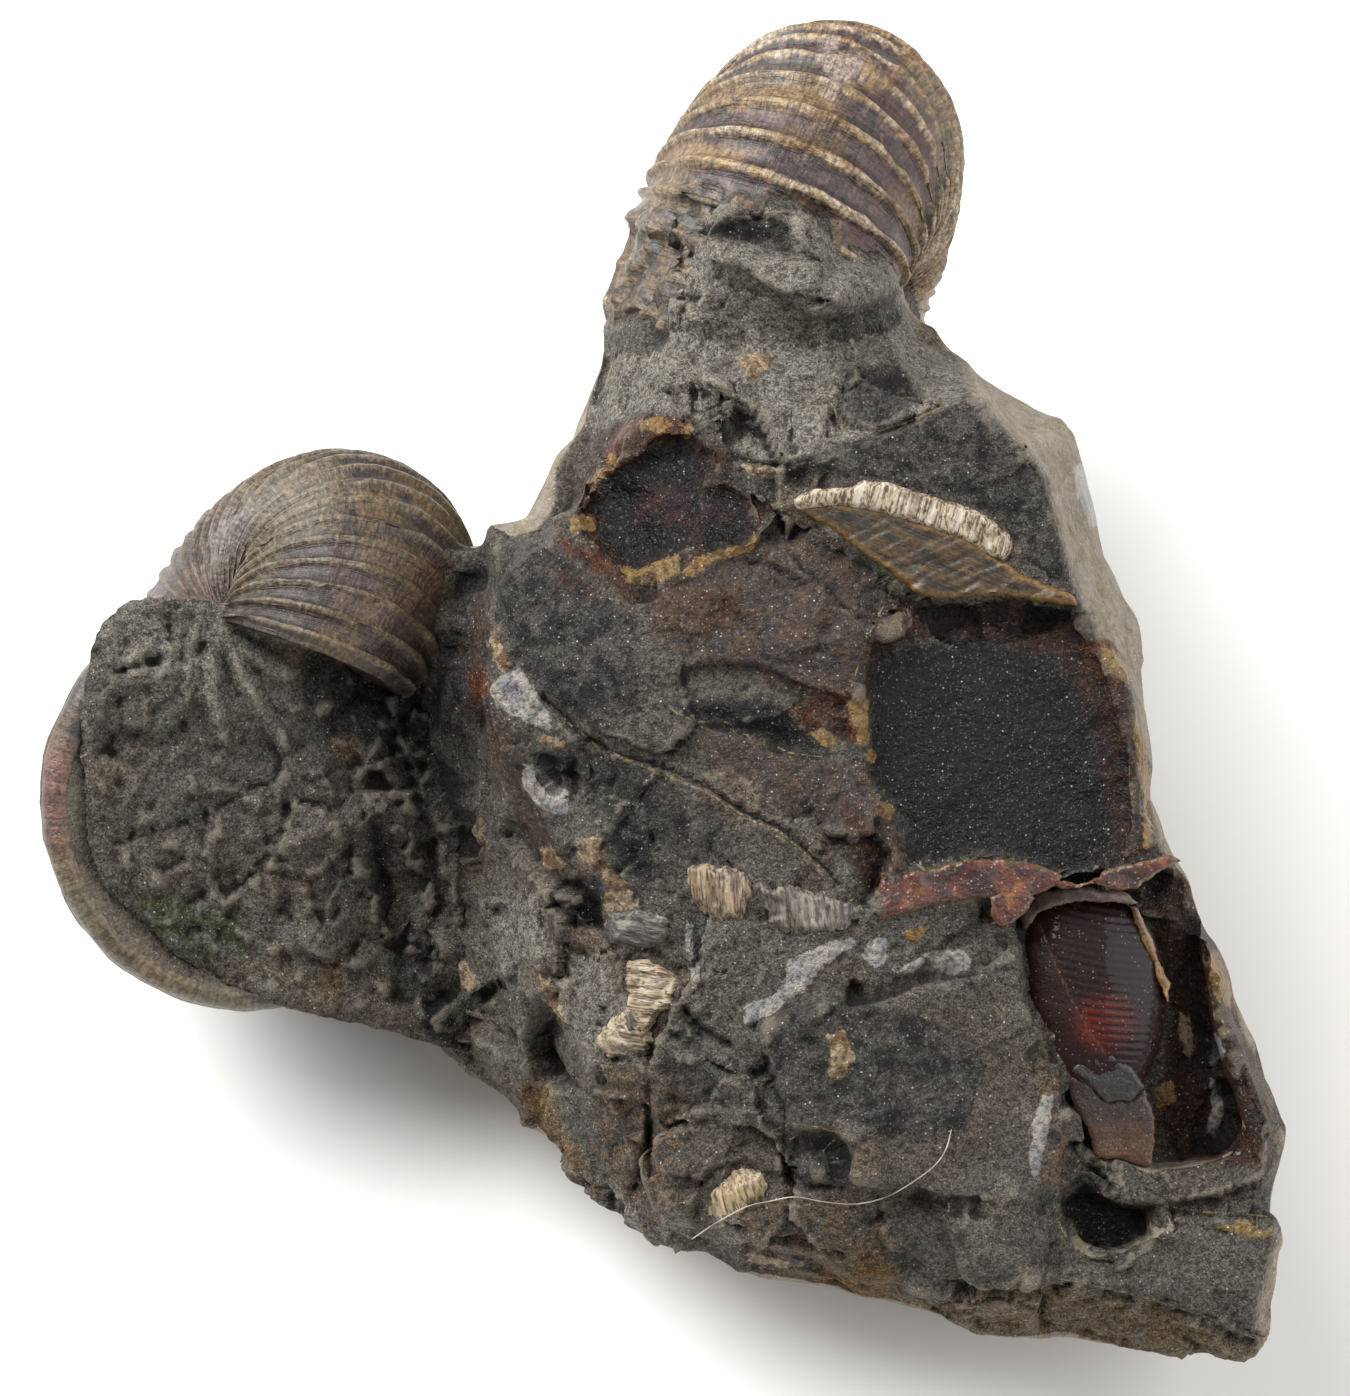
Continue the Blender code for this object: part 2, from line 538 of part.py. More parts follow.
def left_rings(step_angle, swell_of):
    rings = []
    count = round((LEFT_END - LEFT_START) / step_angle)
    for i in range(count + 1):
        angle = LEFT_START + (LEFT_END - LEFT_START) * i / count
        swell = swell_of(i)
        ring = LEFT_BEND.ring(angle, swell)
        ease = max(0.0, (angle - BREAK_EASE_FROM) / (LEFT_END - BREAK_EASE_FROM))
        ease = ease * ease * (3 - 2 * ease)
        if ease:
            near = break_ring(swell, BREAK_RUN * (1 - i / count))
            ring = [LEFT_BEND.keep_below(a.lerp(b, ease), angle) for a, b in zip(ring, near)]
        rings.append(ring)
    return rings


def make_left_whorl(finish):
    rings = left_rings(LEFT_RIB_ANGLE / 2, lambda i: LEFT_RIB_HEIGHT if i % 2 else 0)
    return loft("left_whorl", rings, finish, LEFT_BULGES)


def left_cutter():
    rings = left_rings(LEFT_SOCKET_ANGLE, lambda i: LEFT_RIB_HEIGHT + LEFT_GAP_SHARE * FIT_GAP / MM)
    return loft("left_whorl_socket", rings, bulges=(0, SOCKET_BULGE))


# The pieces let into the front face

def make_prism(name, outline, depths, finish=None):
    """A plate of an outline's shape between two depths, with a low dome on its top."""
    bottom, top, dome = depths
    middle = Vector((sum(p[0] for p in outline) / len(outline), sum(p[1] for p in outline) / len(outline)))
    points, faces = [], []
    for share, depth in ((1.0, bottom), (1.0, top), (PRISM_SHARE, top + dome)):
        points += [place(middle.x + (x - middle.x) * share, middle.y + (y - middle.y) * share, depth)
                   for x, y in outline]
    count = len(outline)
    for k in range(2):
        for i in range(count):
            j = (i + 1) % count
            faces.append((k * count + i, k * count + j, (k + 1) * count + j, (k + 1) * count + i))
    for first in (0, 2 * count):
        cap = tessellate_polygon([[Vector((x, y, 0)) for x, y in outline]])
        faces += [tuple(first + k for k in face) for face in cap]
    return add_object(name, mesh_from(name, points, faces), finish)


PLATE_OUTLINE = [
    (791, 503), (808, 489), (860, 481), (920, 494), (958, 505), (990, 520), (1012, 546), (1030, 570),
    (1072, 602), (1024, 592), (960, 596), (925, 600), (868, 562), (821, 535),
]
LEDGE_OUTLINE = [
    (884, 886), (912, 876), (944, 870), (995, 862), (1029, 868), (1059, 882), (1046, 896), (1034, 902),
    (1003, 904), (978, 908), (939, 914), (900, 926), (888, 914),
]
PLATE_DEPTHS = (-1.6, 0.35, 0.25)  # mm: bottom, top, and the rise of the dome on it
LEDGE_DEPTHS = (-1.8, 0.25, 0.2)
SOCKET_TOP = 4  # mm, clear above the face
PRISM_SHARE = 0.55  # size of the dome's inner outline
GAP_UNITS = FIT_GAP / PICTURE_UNIT

# The small shell: an egg with its narrow end down
SMALL_SHELL = {
    "middle": (1082, 1002, -3.0),  # of its top, and its depth in mm
    "drift": 26,  # picture units to the right from its top to its foot
    "half_width": 66, "half_length": 96,  # picture units
    "half_depth": 2.1,  # mm
    "narrowing": 0.22, "fullness": 0.8,
    "rib_height": 0.10,  # mm
    "rings": 11, "sides": 18, "bulge": 0.3,
}
SMALL_SOCKET = {**SMALL_SHELL, "rings": 8, "sides": 14}


def egg(name, facts, grow, rib_height, finish=None):
    """The small shell's egg, grown by some picture units, with a rib on every other ring."""
    top_x, top_y, depth = facts["middle"]
    rings = []
    for k in range(facts["rings"]):
        t = (k + 0.5) / facts["rings"]
        full = math.sin(math.pi * t) ** facts["fullness"]
        rib = 0.0 if k % 2 else rib_height
        wide = (facts["half_width"] + grow) * (1 - facts["narrowing"] * t)
        half_wide = wide * full + rib * MM / PICTURE_UNIT
        half_deep = (facts["half_depth"] + grow * PICTURE_UNIT / MM) * full + rib
        x = top_x + facts["drift"] * t
        y = top_y - (facts["half_length"] + grow) * math.cos(math.pi * t)
        turns = [2 * math.pi * i / facts["sides"] for i in range(facts["sides"])]
        rings.append([facing(x + half_wide * math.cos(turn), y, depth + half_deep * math.sin(turn))
                      for turn in turns])
    return loft(name, rings, finish, (facts["bulge"], facts["bulge"]))


def cut_away(target, cutter):
    cutter.hide_render = True
    cutter.display_type = "WIRE"
    cut = target.modifiers.new("room_for_" + cutter.name, "BOOLEAN")
    cut.operation = "DIFFERENCE"
    cut.solver = "EXACT"
    cut.object = cutter


def settle_cuts(target):
    """Applies the cuts to the target and drops the crumbs that they split off."""
    bpy.context.view_layer.update()
    result = bpy.data.meshes.new_from_object(target.evaluated_get(bpy.context.evaluated_depsgraph_get()))
    target.modifiers.clear()
    shape = bmesh.new()
    shape.from_mesh(result)
    bmesh.ops.triangulate(shape, faces=shape.faces)
    left = set(shape.faces)
    bodies = []
    while left:
        grown = [left.pop()]
        for face in grown:
            for edge in face.edges:
                for other in edge.link_faces:
                    if other in left:
                        left.remove(other)
                        grown.append(other)
        bodies.append(grown)
    bodies.sort(key=len)
    crumbs = [vert for body in bodies[:-1] for vert in {v for face in body for v in face.verts}]
    bmesh.ops.delete(shape, geom=crumbs, context="VERTS")
    shape.to_mesh(result)
    shape.free()
    target.data = result


def main():
    for old in list(bpy.data.objects):
        bpy.data.objects.remove(old, do_unlink=True)
    mudstone = material("dark_mudstone", (0.062, 0.056, 0.050), 0.85)
    ribbed_shell = material("ribbed_shell", (0.22, 0.14, 0.085), 0.5)
    knob_shell = material("weathered_shell", (0.10, 0.078, 0.058), 0.6)
    young_shell = material("red_brown_shell", (0.055, 0.016, 0.012), 0.35)
    fibrous_shell = material("fibrous_shell", (0.35, 0.25, 0.13), 0.55)
    red_calcite = material("red_brown_calcite", (0.11, 0.028, 0.014), 0.3)

    rock = make_rock(mudstone)
    make_upper_whorl(ribbed_shell)
    make_left_whorl(knob_shell)
    egg("small_shell", SMALL_SHELL, 0, SMALL_SHELL["rib_height"], young_shell)
    make_prism("shell_plate", PLATE_OUTLINE, PLATE_DEPTHS, fibrous_shell)
    make_prism("calcite_ledge", LEDGE_OUTLINE, LEDGE_DEPTHS, red_calcite)

    cut_away(rock, upper_cutter())
    cut_away(rock, left_cutter())
    cut_away(rock, egg("small_shell_socket", SMALL_SOCKET, GAP_UNITS + 1, 0))
    for name, outline, depths in (("plate_socket", PLATE_OUTLINE, PLATE_DEPTHS),
                                  ("ledge_socket", LEDGE_OUTLINE, LEDGE_DEPTHS)):
        room = (depths[0] - FIT_GAP / MM, SOCKET_TOP, 0)
        cut_away(rock, make_prism(name, push_out(outline, GAP_UNITS), room))
    settle_cuts(rock)


main()
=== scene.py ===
import math

import bmesh
import bpy
import numpy as np
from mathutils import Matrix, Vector, noise
from mathutils.bvhtree import BVHTree
from mathutils.geometry import delaunay_2d_cdt


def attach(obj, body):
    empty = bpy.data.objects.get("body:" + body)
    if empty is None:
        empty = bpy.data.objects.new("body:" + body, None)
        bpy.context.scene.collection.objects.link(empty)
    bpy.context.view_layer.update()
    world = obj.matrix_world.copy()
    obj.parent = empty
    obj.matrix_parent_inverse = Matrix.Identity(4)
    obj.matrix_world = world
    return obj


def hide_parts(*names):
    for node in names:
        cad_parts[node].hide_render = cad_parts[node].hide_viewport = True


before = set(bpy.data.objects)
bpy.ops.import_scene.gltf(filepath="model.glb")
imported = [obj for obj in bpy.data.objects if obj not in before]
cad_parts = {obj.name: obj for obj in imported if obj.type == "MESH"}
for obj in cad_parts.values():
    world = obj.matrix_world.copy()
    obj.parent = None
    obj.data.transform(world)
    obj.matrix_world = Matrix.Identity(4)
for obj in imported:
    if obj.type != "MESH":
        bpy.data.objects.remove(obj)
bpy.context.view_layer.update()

mm = 0.001

# How the fossil is seen. A picture point is a pixel of the 1350 x 1396 frame, and its depth
# is in mm towards the eye, with the middle of the broken face at depth 0.
view = {
    "frame": (1350, 1396),
    "middle": (675, 698),
    "pixel": 0.05 * mm,             # one pixel at depth 0
    "eyeDistance": 250 * mm,
    "eyeAngle": math.radians(65),   # above the ground
    "faceHeight": 28.5 * mm,        # the middle of the face above the ground
    "reach": 45.0,                  # mm before and behind the face that hold the whole fossil
}
sinEye, cosEye = math.sin(view["eyeAngle"]), math.cos(view["eyeAngle"])
towardsEye = np.array((0, -cosEye, sinEye))
pixelMm = view["pixel"] / mm


def laid(points):
    # across, up and towards the eye, laid down over the ground
    points = np.asarray(points, float)
    across, up, towards = points[..., 0], points[..., 1], points[..., 2]
    return np.stack((across, sinEye * up - cosEye * towards,
                     cosEye * up + sinEye * towards + view["faceHeight"]), axis=-1)


def seen(x, y, depth):
    # a picture point as across, up and towards the eye
    x, y, depth = np.broadcast_arrays(*(np.asarray(value, float) for value in (x, y, depth)))
    towards = depth * mm
    spread = view["pixel"] * (view["eyeDistance"] - towards) / view["eyeDistance"]
    return np.stack(((x - view["middle"][0]) * spread, (view["middle"][1] - y) * spread, towards), axis=-1)


def place(x, y, depth):
    return laid(seen(x, y, depth))


def pictureOf(points):
    # where world points are seen: x, y and depth in mm
    points = np.asarray(points, float)
    z = points[..., 2] - view["faceHeight"]
    up = sinEye * points[..., 1] + cosEye * z
    towards = -cosEye * points[..., 1] + sinEye * z
    spread = view["pixel"] * (view["eyeDistance"] - towards) / view["eyeDistance"]
    return view["middle"][0] + points[..., 0] / spread, view["middle"][1] - up / spread, towards / mm


# Drawing with outlines and noise

def smooth(low, high, value):
    t = np.clip((value - low) / (high - low), 0, 1)
    return t * t * (3 - 2 * t)


def unit(v):
    v = np.asarray(v, float)
    return v / np.linalg.norm(v)


def lineDistance(x, y, points, closed=False):
    best = np.full(len(x), 1e9)
    ends = list(points[1:]) + ([points[0]] if closed else [])
    for (ax, ay), (bx, by) in zip(points, ends):
        dx, dy = bx - ax, by - ay
        t = np.clip(((x - ax) * dx + (y - ay) * dy) / max(dx * dx + dy * dy, 1e-9), 0, 1)
        best = np.minimum(best, np.hypot(x - ax - t * dx, y - ay - t * dy))
    return best


def insideOf(x, y, outline):
    found = np.zeros(len(x), bool)
    for (ax, ay), (bx, by) in zip(outline, list(outline[1:]) + [outline[0]]):
        crosses = (ay > y) != (by > y)
        found ^= crosses & (x < (bx - ax) * (y - ay) / ((by - ay) or 1e-9) + ax)
    return found


outlineReach = 60.0     # pixels from an outline that are worked out


def depthInside(x, y, outline, reach=outlineReach):
    # pixels inside an outline, negative outside it, worked out only near it
    xs, ys = [p[0] for p in outline], [p[1] for p in outline]
    near = (x > min(xs) - reach) & (x < max(xs) + reach) & (y > min(ys) - reach) & (y < max(ys) + reach)
    result = np.full(len(x), -reach)
    if near.any():
        away = lineDistance(x[near], y[near], outline, True)
        result[near] = np.where(insideOf(x[near], y[near], outline), away, -away)
    return result


def depthInAny(x, y, shown, outlines):
    # pixels inside the nearest of the outlines, for the points that show
    inside = np.full(len(x), -outlineReach)
    for outline in outlines:
        inside[shown] = np.maximum(inside[shown], depthInside(x[shown], y[shown], outline))
    return inside


def grain(points, size, seed, octaves=1):
    # smooth noise from about -1 to 1, over points in any unit
    scaled = (np.asarray(points, float) / size + seed).tolist()
    if octaves == 1:
        return np.array([noise.noise(p) for p in scaled])
    return np.array([noise.fractal(p, 0.9, 2.1, octaves) for p in scaled])


def chips(points, size, seed, step=0.5):
    # flat facets that tilt each its own way, as where rock has chipped
    heights = []
    for p in (np.asarray(points, float) / size + seed).tolist():
        centre = noise.voronoi(p)[1][0]
        key = centre * 41.3
        tilt = noise.cell_vector(key) - Vector((0.5, 0.5, 0.5))
        heights.append(2 * tilt.dot(Vector(p) - centre) + step * (noise.cell(key + Vector((7, 3, 5))) - 0.5))
    return np.array(heights)


def chipTint(points, size, seed):
    # one value from 0 to 1 for each of those facets
    return np.array([noise.cell(noise.voronoi(p)[1][0] * 41.3 + Vector((3, 9, 1)))
                     for p in (np.asarray(points, float) / size + seed).tolist()])


def terraces(points, size, seed, step, sharp=0.78):
    # layers that broke off one by one: level treads with steep risers
    levels = grain(points, size, seed, 3) / step
    whole = np.floor(levels)
    return step * (whole + smooth(sharp, 1.0, levels - whole))


# Meshes

def meshArrays(mesh):
    places = np.empty(len(mesh.vertices) * 3, np.float32)
    mesh.vertices.foreach_get("co", places)
    normals = np.empty(len(mesh.vertices) * 3, np.float32)
    mesh.vertices.foreach_get("normal", normals)
    return places.reshape(-1, 3).astype(float), normals.reshape(-1, 3).astype(float)


def setPlaces(mesh, places):
    mesh.vertices.foreach_set("co", np.asarray(places, np.float32).ravel())
    mesh.update()


def paint(mesh, name, values):
    layer = mesh.attributes.get(name) or mesh.attributes.new(name, "FLOAT", "POINT")
    layer.data.foreach_set("value", np.asarray(values, np.float32))


def addPiece(name, mesh, finish, replaced=(), sharp=None):
    piece = bpy.data.objects.new(name, mesh)
    bpy.context.scene.collection.objects.link(piece)
    mesh.materials.clear()
    mesh.materials.append(finish)
    mesh.shade_smooth()
    if sharp:
        mesh.set_sharp_from_angle(angle=math.radians(sharp))
    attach(piece, "root")
    if replaced:
        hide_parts(*replaced)
    print("piece", name, sum(len(face.vertices) - 2 for face in mesh.polygons), "triangles")
    return piece


def solidFrom(points, faces, name):
    mesh = bpy.data.meshes.new(name)
    mesh.from_pydata([tuple(p) for p in points], [], [tuple(f) for f in faces])
    shape = bmesh.new()
    shape.from_mesh(mesh)
    bmesh.ops.recalc_face_normals(shape, faces=shape.faces)
    shape.to_mesh(mesh)
    shape.free()
    mesh.update()
    return mesh


def fullTurn(sides):
    return np.linspace(0, 2 * math.pi, sides, endpoint=False)


def tubeFaces(count, sides):
    # the faces of a tube of rings, with one more point at each end
    after = [(i + 1) % sides for i in range(sides)]
    faces = [(k + i, k + j, k + sides + j, k + sides + i)
             for k in range(0, (count - 1) * sides, sides) for i, j in enumerate(after)]
    for first, tip in ((0, count * sides), ((count - 1) * sides, count * sides + 1)):
        faces += [(first + i, first + j, tip) for i, j in enumerate(after)]
    return faces


def levelAt(depth):
    # a surface of one depth everywhere
    return lambda x, y: np.full(len(x), depth)


def surfaceOf(mesh):
    # how deep the mesh lies under picture points
    tree = BVHTree.FromPolygons([v.co for v in mesh.vertices], [face.vertices[:] for face in mesh.polygons])

    def depthAt(x, y):
        starts, ends = place(x, y, view["reach"]), place(x, y, -view["reach"])
        hits = np.full((len(x), 3), np.nan)
        for i, (start, end) in enumerate(zip(starts.tolist(), ends.tolist())):
            hit = tree.ray_cast(Vector(start), Vector(end) - Vector(start))[0]
            if hit:
                hits[i] = hit
        depth = pictureOf(hits)[2]
        return np.where(np.isnan(depth), np.nanmedian(depth), depth)
    return depthAt


def evened(depthAt, follow):
    # the surface with its small relief evened out, as far as follow says
    def depthOver(x, y):
        depth = depthAt(x, y)
        u, v = (x - x.mean()) / 50, (y - y.mean()) / 50
        basis = np.column_stack((np.ones(len(x)), u, v, u * u, u * v, v * v))
        even = basis @ np.linalg.lstsq(basis, depth, rcond=None)[0]
        return even + (depth - even) * follow
    return depthOver


def raggedOutline(outline, spacing, wander, seed):
    # the outline in small steps, with each step moved in or out a little
    steps = []
    for a, b in zip(outline, list(outline[1:]) + [outline[0]]):
        count = max(1, round(math.dist(a, b) / spacing))
        steps += [(a[0] + (b[0] - a[0]) * i / count, a[1] + (b[1] - a[1]) * i / count) for i in range(count)]
    steps = np.array(steps)
    rounded = 0.5 * steps + 0.25 * (np.roll(steps, 1, 0) + np.roll(steps, -1, 0))
    flat = np.column_stack((rounded, np.zeros(len(rounded))))
    shift = np.column_stack([grain(flat, 9, (seed + k * 5.3, 2.7, 0.4)) for k in (0, 1)])
    shift += 0.5 * np.column_stack([grain(flat, 4, (seed + k * 3.1, 8.7, 0.9)) for k in (0, 1)])
    return rounded + shift * wander


def sheetMesh(outline, spacing):
    # triangles over a closed outline of picture points, with a loose grid inside it
    low, high = outline.min(0), outline.max(0)
    rows = np.arange(low[1], high[1], spacing * 0.87)
    grid = np.array([(x + (i % 2) * spacing / 2, y) for i, y in enumerate(rows)
                     for x in np.arange(low[0], high[0], spacing)])
    edge = [tuple(p) for p in outline]
    grid = grid[insideOf(grid[:, 0], grid[:, 1], edge)]
    grid = grid[lineDistance(grid[:, 0], grid[:, 1], edge, True) > spacing * 0.55]
    rim = len(outline)
    flat = [Vector(p) for p in outline] + [Vector(p) for p in grid]
    ring = [(i, (i + 1) % rim) for i in range(rim)]
    verts, _, faces, sources, _, _ = delaunay_2d_cdt(flat, ring, [list(range(rim))], 1, 0.01)
    spots = np.array([v[:] for v in verts])
    border = [0] * rim
    for i, source in enumerate(sources):
        for k in source:
            if k < rim:
                border[k] = i
    border = [b for b, before in zip(border, border[-1:] + border[:-1]) if b != before]
    return spots, faces, border


def flakeMesh(name, outline, facts, surface, seed=0.0, relief=None):
    # a thin closed flake over a surface that gives the depth at picture points
    spacing = facts["spacing"] / pixelMm
    spots, faces, border = sheetMesh(raggedOutline(outline, spacing, facts["wander"], seed), spacing)
    rim = [tuple(spots[i]) for i in border]
    away = lineDistance(spots[:, 0], spots[:, 1], rim, True) * pixelMm
    flat = np.column_stack((spots * pixelMm, np.zeros(len(spots))))
    lift = facts["rise"] * smooth(0, facts["bevel"], away) + facts["dome"] * smooth(0, 2.5, away)
    lift += facts["rough"] * grain(flat, facts["roughSize"], (seed, 1.3, 4.1), 3)
    if relief:
        lift += relief(spots[:, 0], spots[:, 1], away)
    depth = surface(spots[:, 0], spots[:, 1])
    top = place(spots[:, 0], spots[:, 1], depth + lift)
    bottom = place(spots[:, 0], spots[:, 1], depth + np.minimum(lift, 0) - facts["root"])
    count = len(spots)
    skin = [tuple(f) for f in faces]
    skin += [tuple(count + i for i in reversed(f)) for f in faces]
    skin += [(a, b, count + b, count + a) for a, b in zip(border, border[1:] + border[:1])]
    mesh = solidFrom(np.vstack((top, bottom)), skin, name)
    paint(mesh, "rim", np.concatenate((away, np.zeros(count))))
    return mesh


def ribbonOutline(line, halfWidth):
    # a narrow outline along a line, with pointed ends
    line = np.asarray(line, float)
    along = np.gradient(line, axis=0)
    side = np.column_stack((-along[:, 1], along[:, 0])) / np.linalg.norm(along, axis=1)[:, None]
    order = np.arange(len(line))
    taper = np.minimum(1, np.minimum(order, order[::-1]) * 0.6 + 0.25)
    wide = side * (halfWidth * taper)[:, None]
    return [tuple(p) for p in np.vstack((line + wide, (line - wide)[::-1]))]


def joinMeshes(name, meshes):
    shape = bmesh.new()
    for mesh in meshes:
        shape.from_mesh(mesh)
    joined = bpy.data.meshes.new(name)
    shape.to_mesh(joined)
    shape.free()
    for mesh in meshes:
        bpy.data.meshes.remove(mesh)
    return joined


# Materials

def colour(code):
    # sRGB hex to linear
    parts = [int(code[i:i + 2], 16) / 255 for i in (1, 3, 5)]
    return (*[p / 12.92 if p <= 0.04045 else ((p + 0.055) / 1.055) ** 2.4 for p in parts], 1)


def addNode(tree, kind, settings=None, links=None):
    # settings are the node's own properties, links are values or sockets for its inputs
    node = tree.nodes.new(kind)
    for key, value in (settings or {}).items():
        setattr(node, key, value)
    for key, value in (links or {}).items():
        if isinstance(value, bpy.types.NodeSocket):
            tree.links.new(value, node.inputs[key])
        else:
            node.inputs[key].default_value = value
    return node


def startMaterial(name, settings):
    # a Principled material and its coordinates in mm
    made = bpy.data.materials.new(name)
    made.use_nodes = True
    tree = made.node_tree
    shader = tree.nodes["Principled BSDF"]
    for key, value in settings.items():
        shader.inputs[key].default_value = value
    spots = addNode(tree, "ShaderNodeTexCoord")
    scaled = addNode(tree, "ShaderNodeVectorMath", {"operation": "SCALE"}, {
        0: spots.outputs["Object"], "Scale": 1 / mm})
    return made, tree, shader, scaled.outputs["Vector"]


def noiseIn(tree, where, perMm, detail=3.0, rough=0.55, warp=0.0):
    node = addNode(tree, "ShaderNodeTexNoise", {}, {
        "Vector": where, "Scale": perMm, "Detail": detail, "Roughness": rough, "Distortion": warp})
    return node.outputs["Fac"]


def ramp(tree, value, low, high, bottom=0.0, top=1.0):
    node = addNode(tree, "ShaderNodeMapRange", {"interpolation_type": "SMOOTHSTEP"}, {
        "Value": value, "From Min": low, "From Max": high, "To Min": bottom, "To Max": top})
    return node.outputs["Result"]


def blend(tree, share, below, above, mode="MIX"):
    node = addNode(tree, "ShaderNodeMix", {"data_type": "RGBA", "blend_type": mode}, {
        "Factor": share, 6: below, 7: above})
    return node.outputs[2]


def sums(tree, operation, a, b, c=0.0):
    return addNode(tree, "ShaderNodeMath", {"operation": operation}, {0: a, 1: b, 2: c}).outputs[0]


def painted(tree, name):
    return addNode(tree, "ShaderNodeAttribute", {"attribute_name": name}).outputs["Fac"]


def zoneMask(tree, name, where, edge=0.05, wander=0.12, perMm=2.5):
    # a painted distance turned to a mask, with an uneven edge
    shake = sums(tree, "MULTIPLY_ADD", noiseIn(tree, where, perMm, 4.0, 0.6), 2 * wander, -wander)
    return ramp(tree, sums(tree, "ADD", painted(tree, name), shake), -edge, edge)


def specks(tree, where, perMm, size, share):
    # scattered small grains: a share of the cells of a fine Voronoi pattern
    cells = addNode(tree, "ShaderNodeTexVoronoi", {}, {"Vector": where, "Scale": perMm})
    near = ramp(tree, cells.outputs["Distance"], size, size * 0.6)
    pick = addNode(tree, "ShaderNodeSeparateColor", {}, {0: cells.outputs["Color"]})
    return sums(tree, "MULTIPLY", near, ramp(tree, pick.outputs[0], 1 - share, 1 - share * 0.8))


def stretched(tree, where, along, across, scaleAlong, scaleAcross):
    # coordinates in which a pattern is drawn out along a direction, as fibres are
    side = np.cross(unit(along), unit(across))
    parts = []
    for direction, scale in ((along, scaleAlong), (across, scaleAcross), (side, scaleAcross)):
        dot = addNode(tree, "ShaderNodeVectorMath", {"operation": "DOT_PRODUCT"}, {
            0: where, 1: tuple(unit(direction) * scale)})
        parts.append(dot.outputs["Value"])
    return addNode(tree, "ShaderNodeCombineXYZ", {}, dict(enumerate(parts))).outputs[0]


def shadeWith(tree, base, value, low, high, darkest, share):
    # darkens the colour where the value is low
    dim = blend(tree, ramp(tree, value, low, high), colour(darkest), (1, 1, 1, 1))
    return blend(tree, share, base, dim, "MULTIPLY")


def withRim(tree, base, low, high, share, code):
    # another colour along the edge of a flake, from low to high mm inside it
    return blend(tree, ramp(tree, painted(tree, "rim"), low, high, 0, share), base, colour(code))


def withSpecks(tree, base, where, perMm, size, share, strength, code):
    found = sums(tree, "MULTIPLY", specks(tree, where, perMm, size, share), strength)
    return blend(tree, found, base, colour(code))


def finishShader(tree, shader, base, roughness, height, high):
    # links the colour and the roughness, and a bump of so many mm
    bump = addNode(tree, "ShaderNodeBump", {}, {"Height": height, "Distance": high * mm, "Strength": 1.0})
    for key, socket in (("Base Color", base), ("Roughness", roughness), ("Normal", bump.outputs["Normal"])):
        tree.links.new(socket, shader.inputs[key])


rockLook = {
    "grey": "#857e73", "dusty": "#9c968b", "darkGrey": "#5c5751", "brownGrey": "#7e6a56",
    "greenGrey": "#716e64", "black": "#2a2826", "weathered": "#a1978a", "weatheredBrown": "#918570",
    "tan": "#7d664a", "rust": "#7c5a34", "crust": "#857048", "spar": "#0b0b0d", "sparBrown": "#30221f",
    "redBrown": "#4c3020", "purple": "#423a38", "brown": "#544335", "honey": "#8e6c3a",
    "orange": "#6a3c20", "cream": "#b09c7e", "chipBrown": "#6b5034", "pearl": "#a59e94",
    "pearlGrey": "#88888b", "ember": "#3c1b15", "moss": "#4f5438", "fanRib": "#8b887b",
    "crack": "#171514", "worn": "#a59a88",
    "flecks": "#9c9486", "paintedGlint": "#d8d2c6", "paintedSparkle": "#9c8b90",
    "siltSize": 0.11,       # mm, drawn a little coarser than the real 0.05 mm so that it shows
    "roughness": 0.8,
    # zones that get painted sparkle specks
    "sparkling": ("purple", "redBrown"),
    "calm": ("weathered", "purple", "honey", "pearl", "chip"),      # less grain and wear than the rock has
}
# What crosses the mudstone, and the painted shade in its hollows, in the order that it is laid: colours,
# how soft and how uneven the edge is in mm, the roughness, and how far it stands out in mm
rockFinishes = {
    "paleGrey": ("dusty", "grey", 0.35, 0.6, 0.8, 0.0),
    # dark rock, and painted shade in hollows, under overhangs and in gaps
    "dark": ("darkGrey", "black", 0.3, 0.35, 0.75, 0.0),
    "umber": ("brownGrey", "darkGrey", 0.3, 0.5, 0.8, 0.0),
    "weathered": ("weathered", "weatheredBrown", 0.3, 0.3, 0.85, 0.0),
    "tan": ("tan", "weatheredBrown", 0.35, 0.7, 0.85, 0.0),
    "rust": ("rust", "crust", 0.3, 0.7, 0.8, 0.03),
    "moss": ("moss", "greenGrey", 0.5, 0.9, 0.85, 0.0),
    "purple": ("purple", "brown", 0.4, 0.7, 0.45, 0.0),
    "brown": ("brown", "redBrown", 0.3, 0.5, 0.6, 0.03),
    "redBrown": ("redBrown", "sparBrown", 0.35, 0.5, 0.4, 0.0),
    "spar": ("spar", "spar", 0.55, 0.9, 0.36, 0.0),
    "ember": ("ember", "spar", 0.5, 0.5, 0.36, 0.0),
    "orange": ("orange", "redBrown", 0.2, 0.5, 0.35, 0.04),
    "honey": ("honey", "crust", 0.05, 0.4, 0.34, 0.12),
    "fanRib": ("fanRib", "greenGrey", 0.12, 0.2, 0.8, 0.0),
    "pearl": ("pearl", "pearlGrey", 0.05, 0.24, 0.35, 0.14),
    "chip": ("cream", "chipBrown", 0.08, 0.45, 0.5, 0.1),
    # painted shade, nearly black, in the deepest hollows and clefts
    "black": ("crack", "crack", 0.3, 0.35, 0.9, 0.0),
}


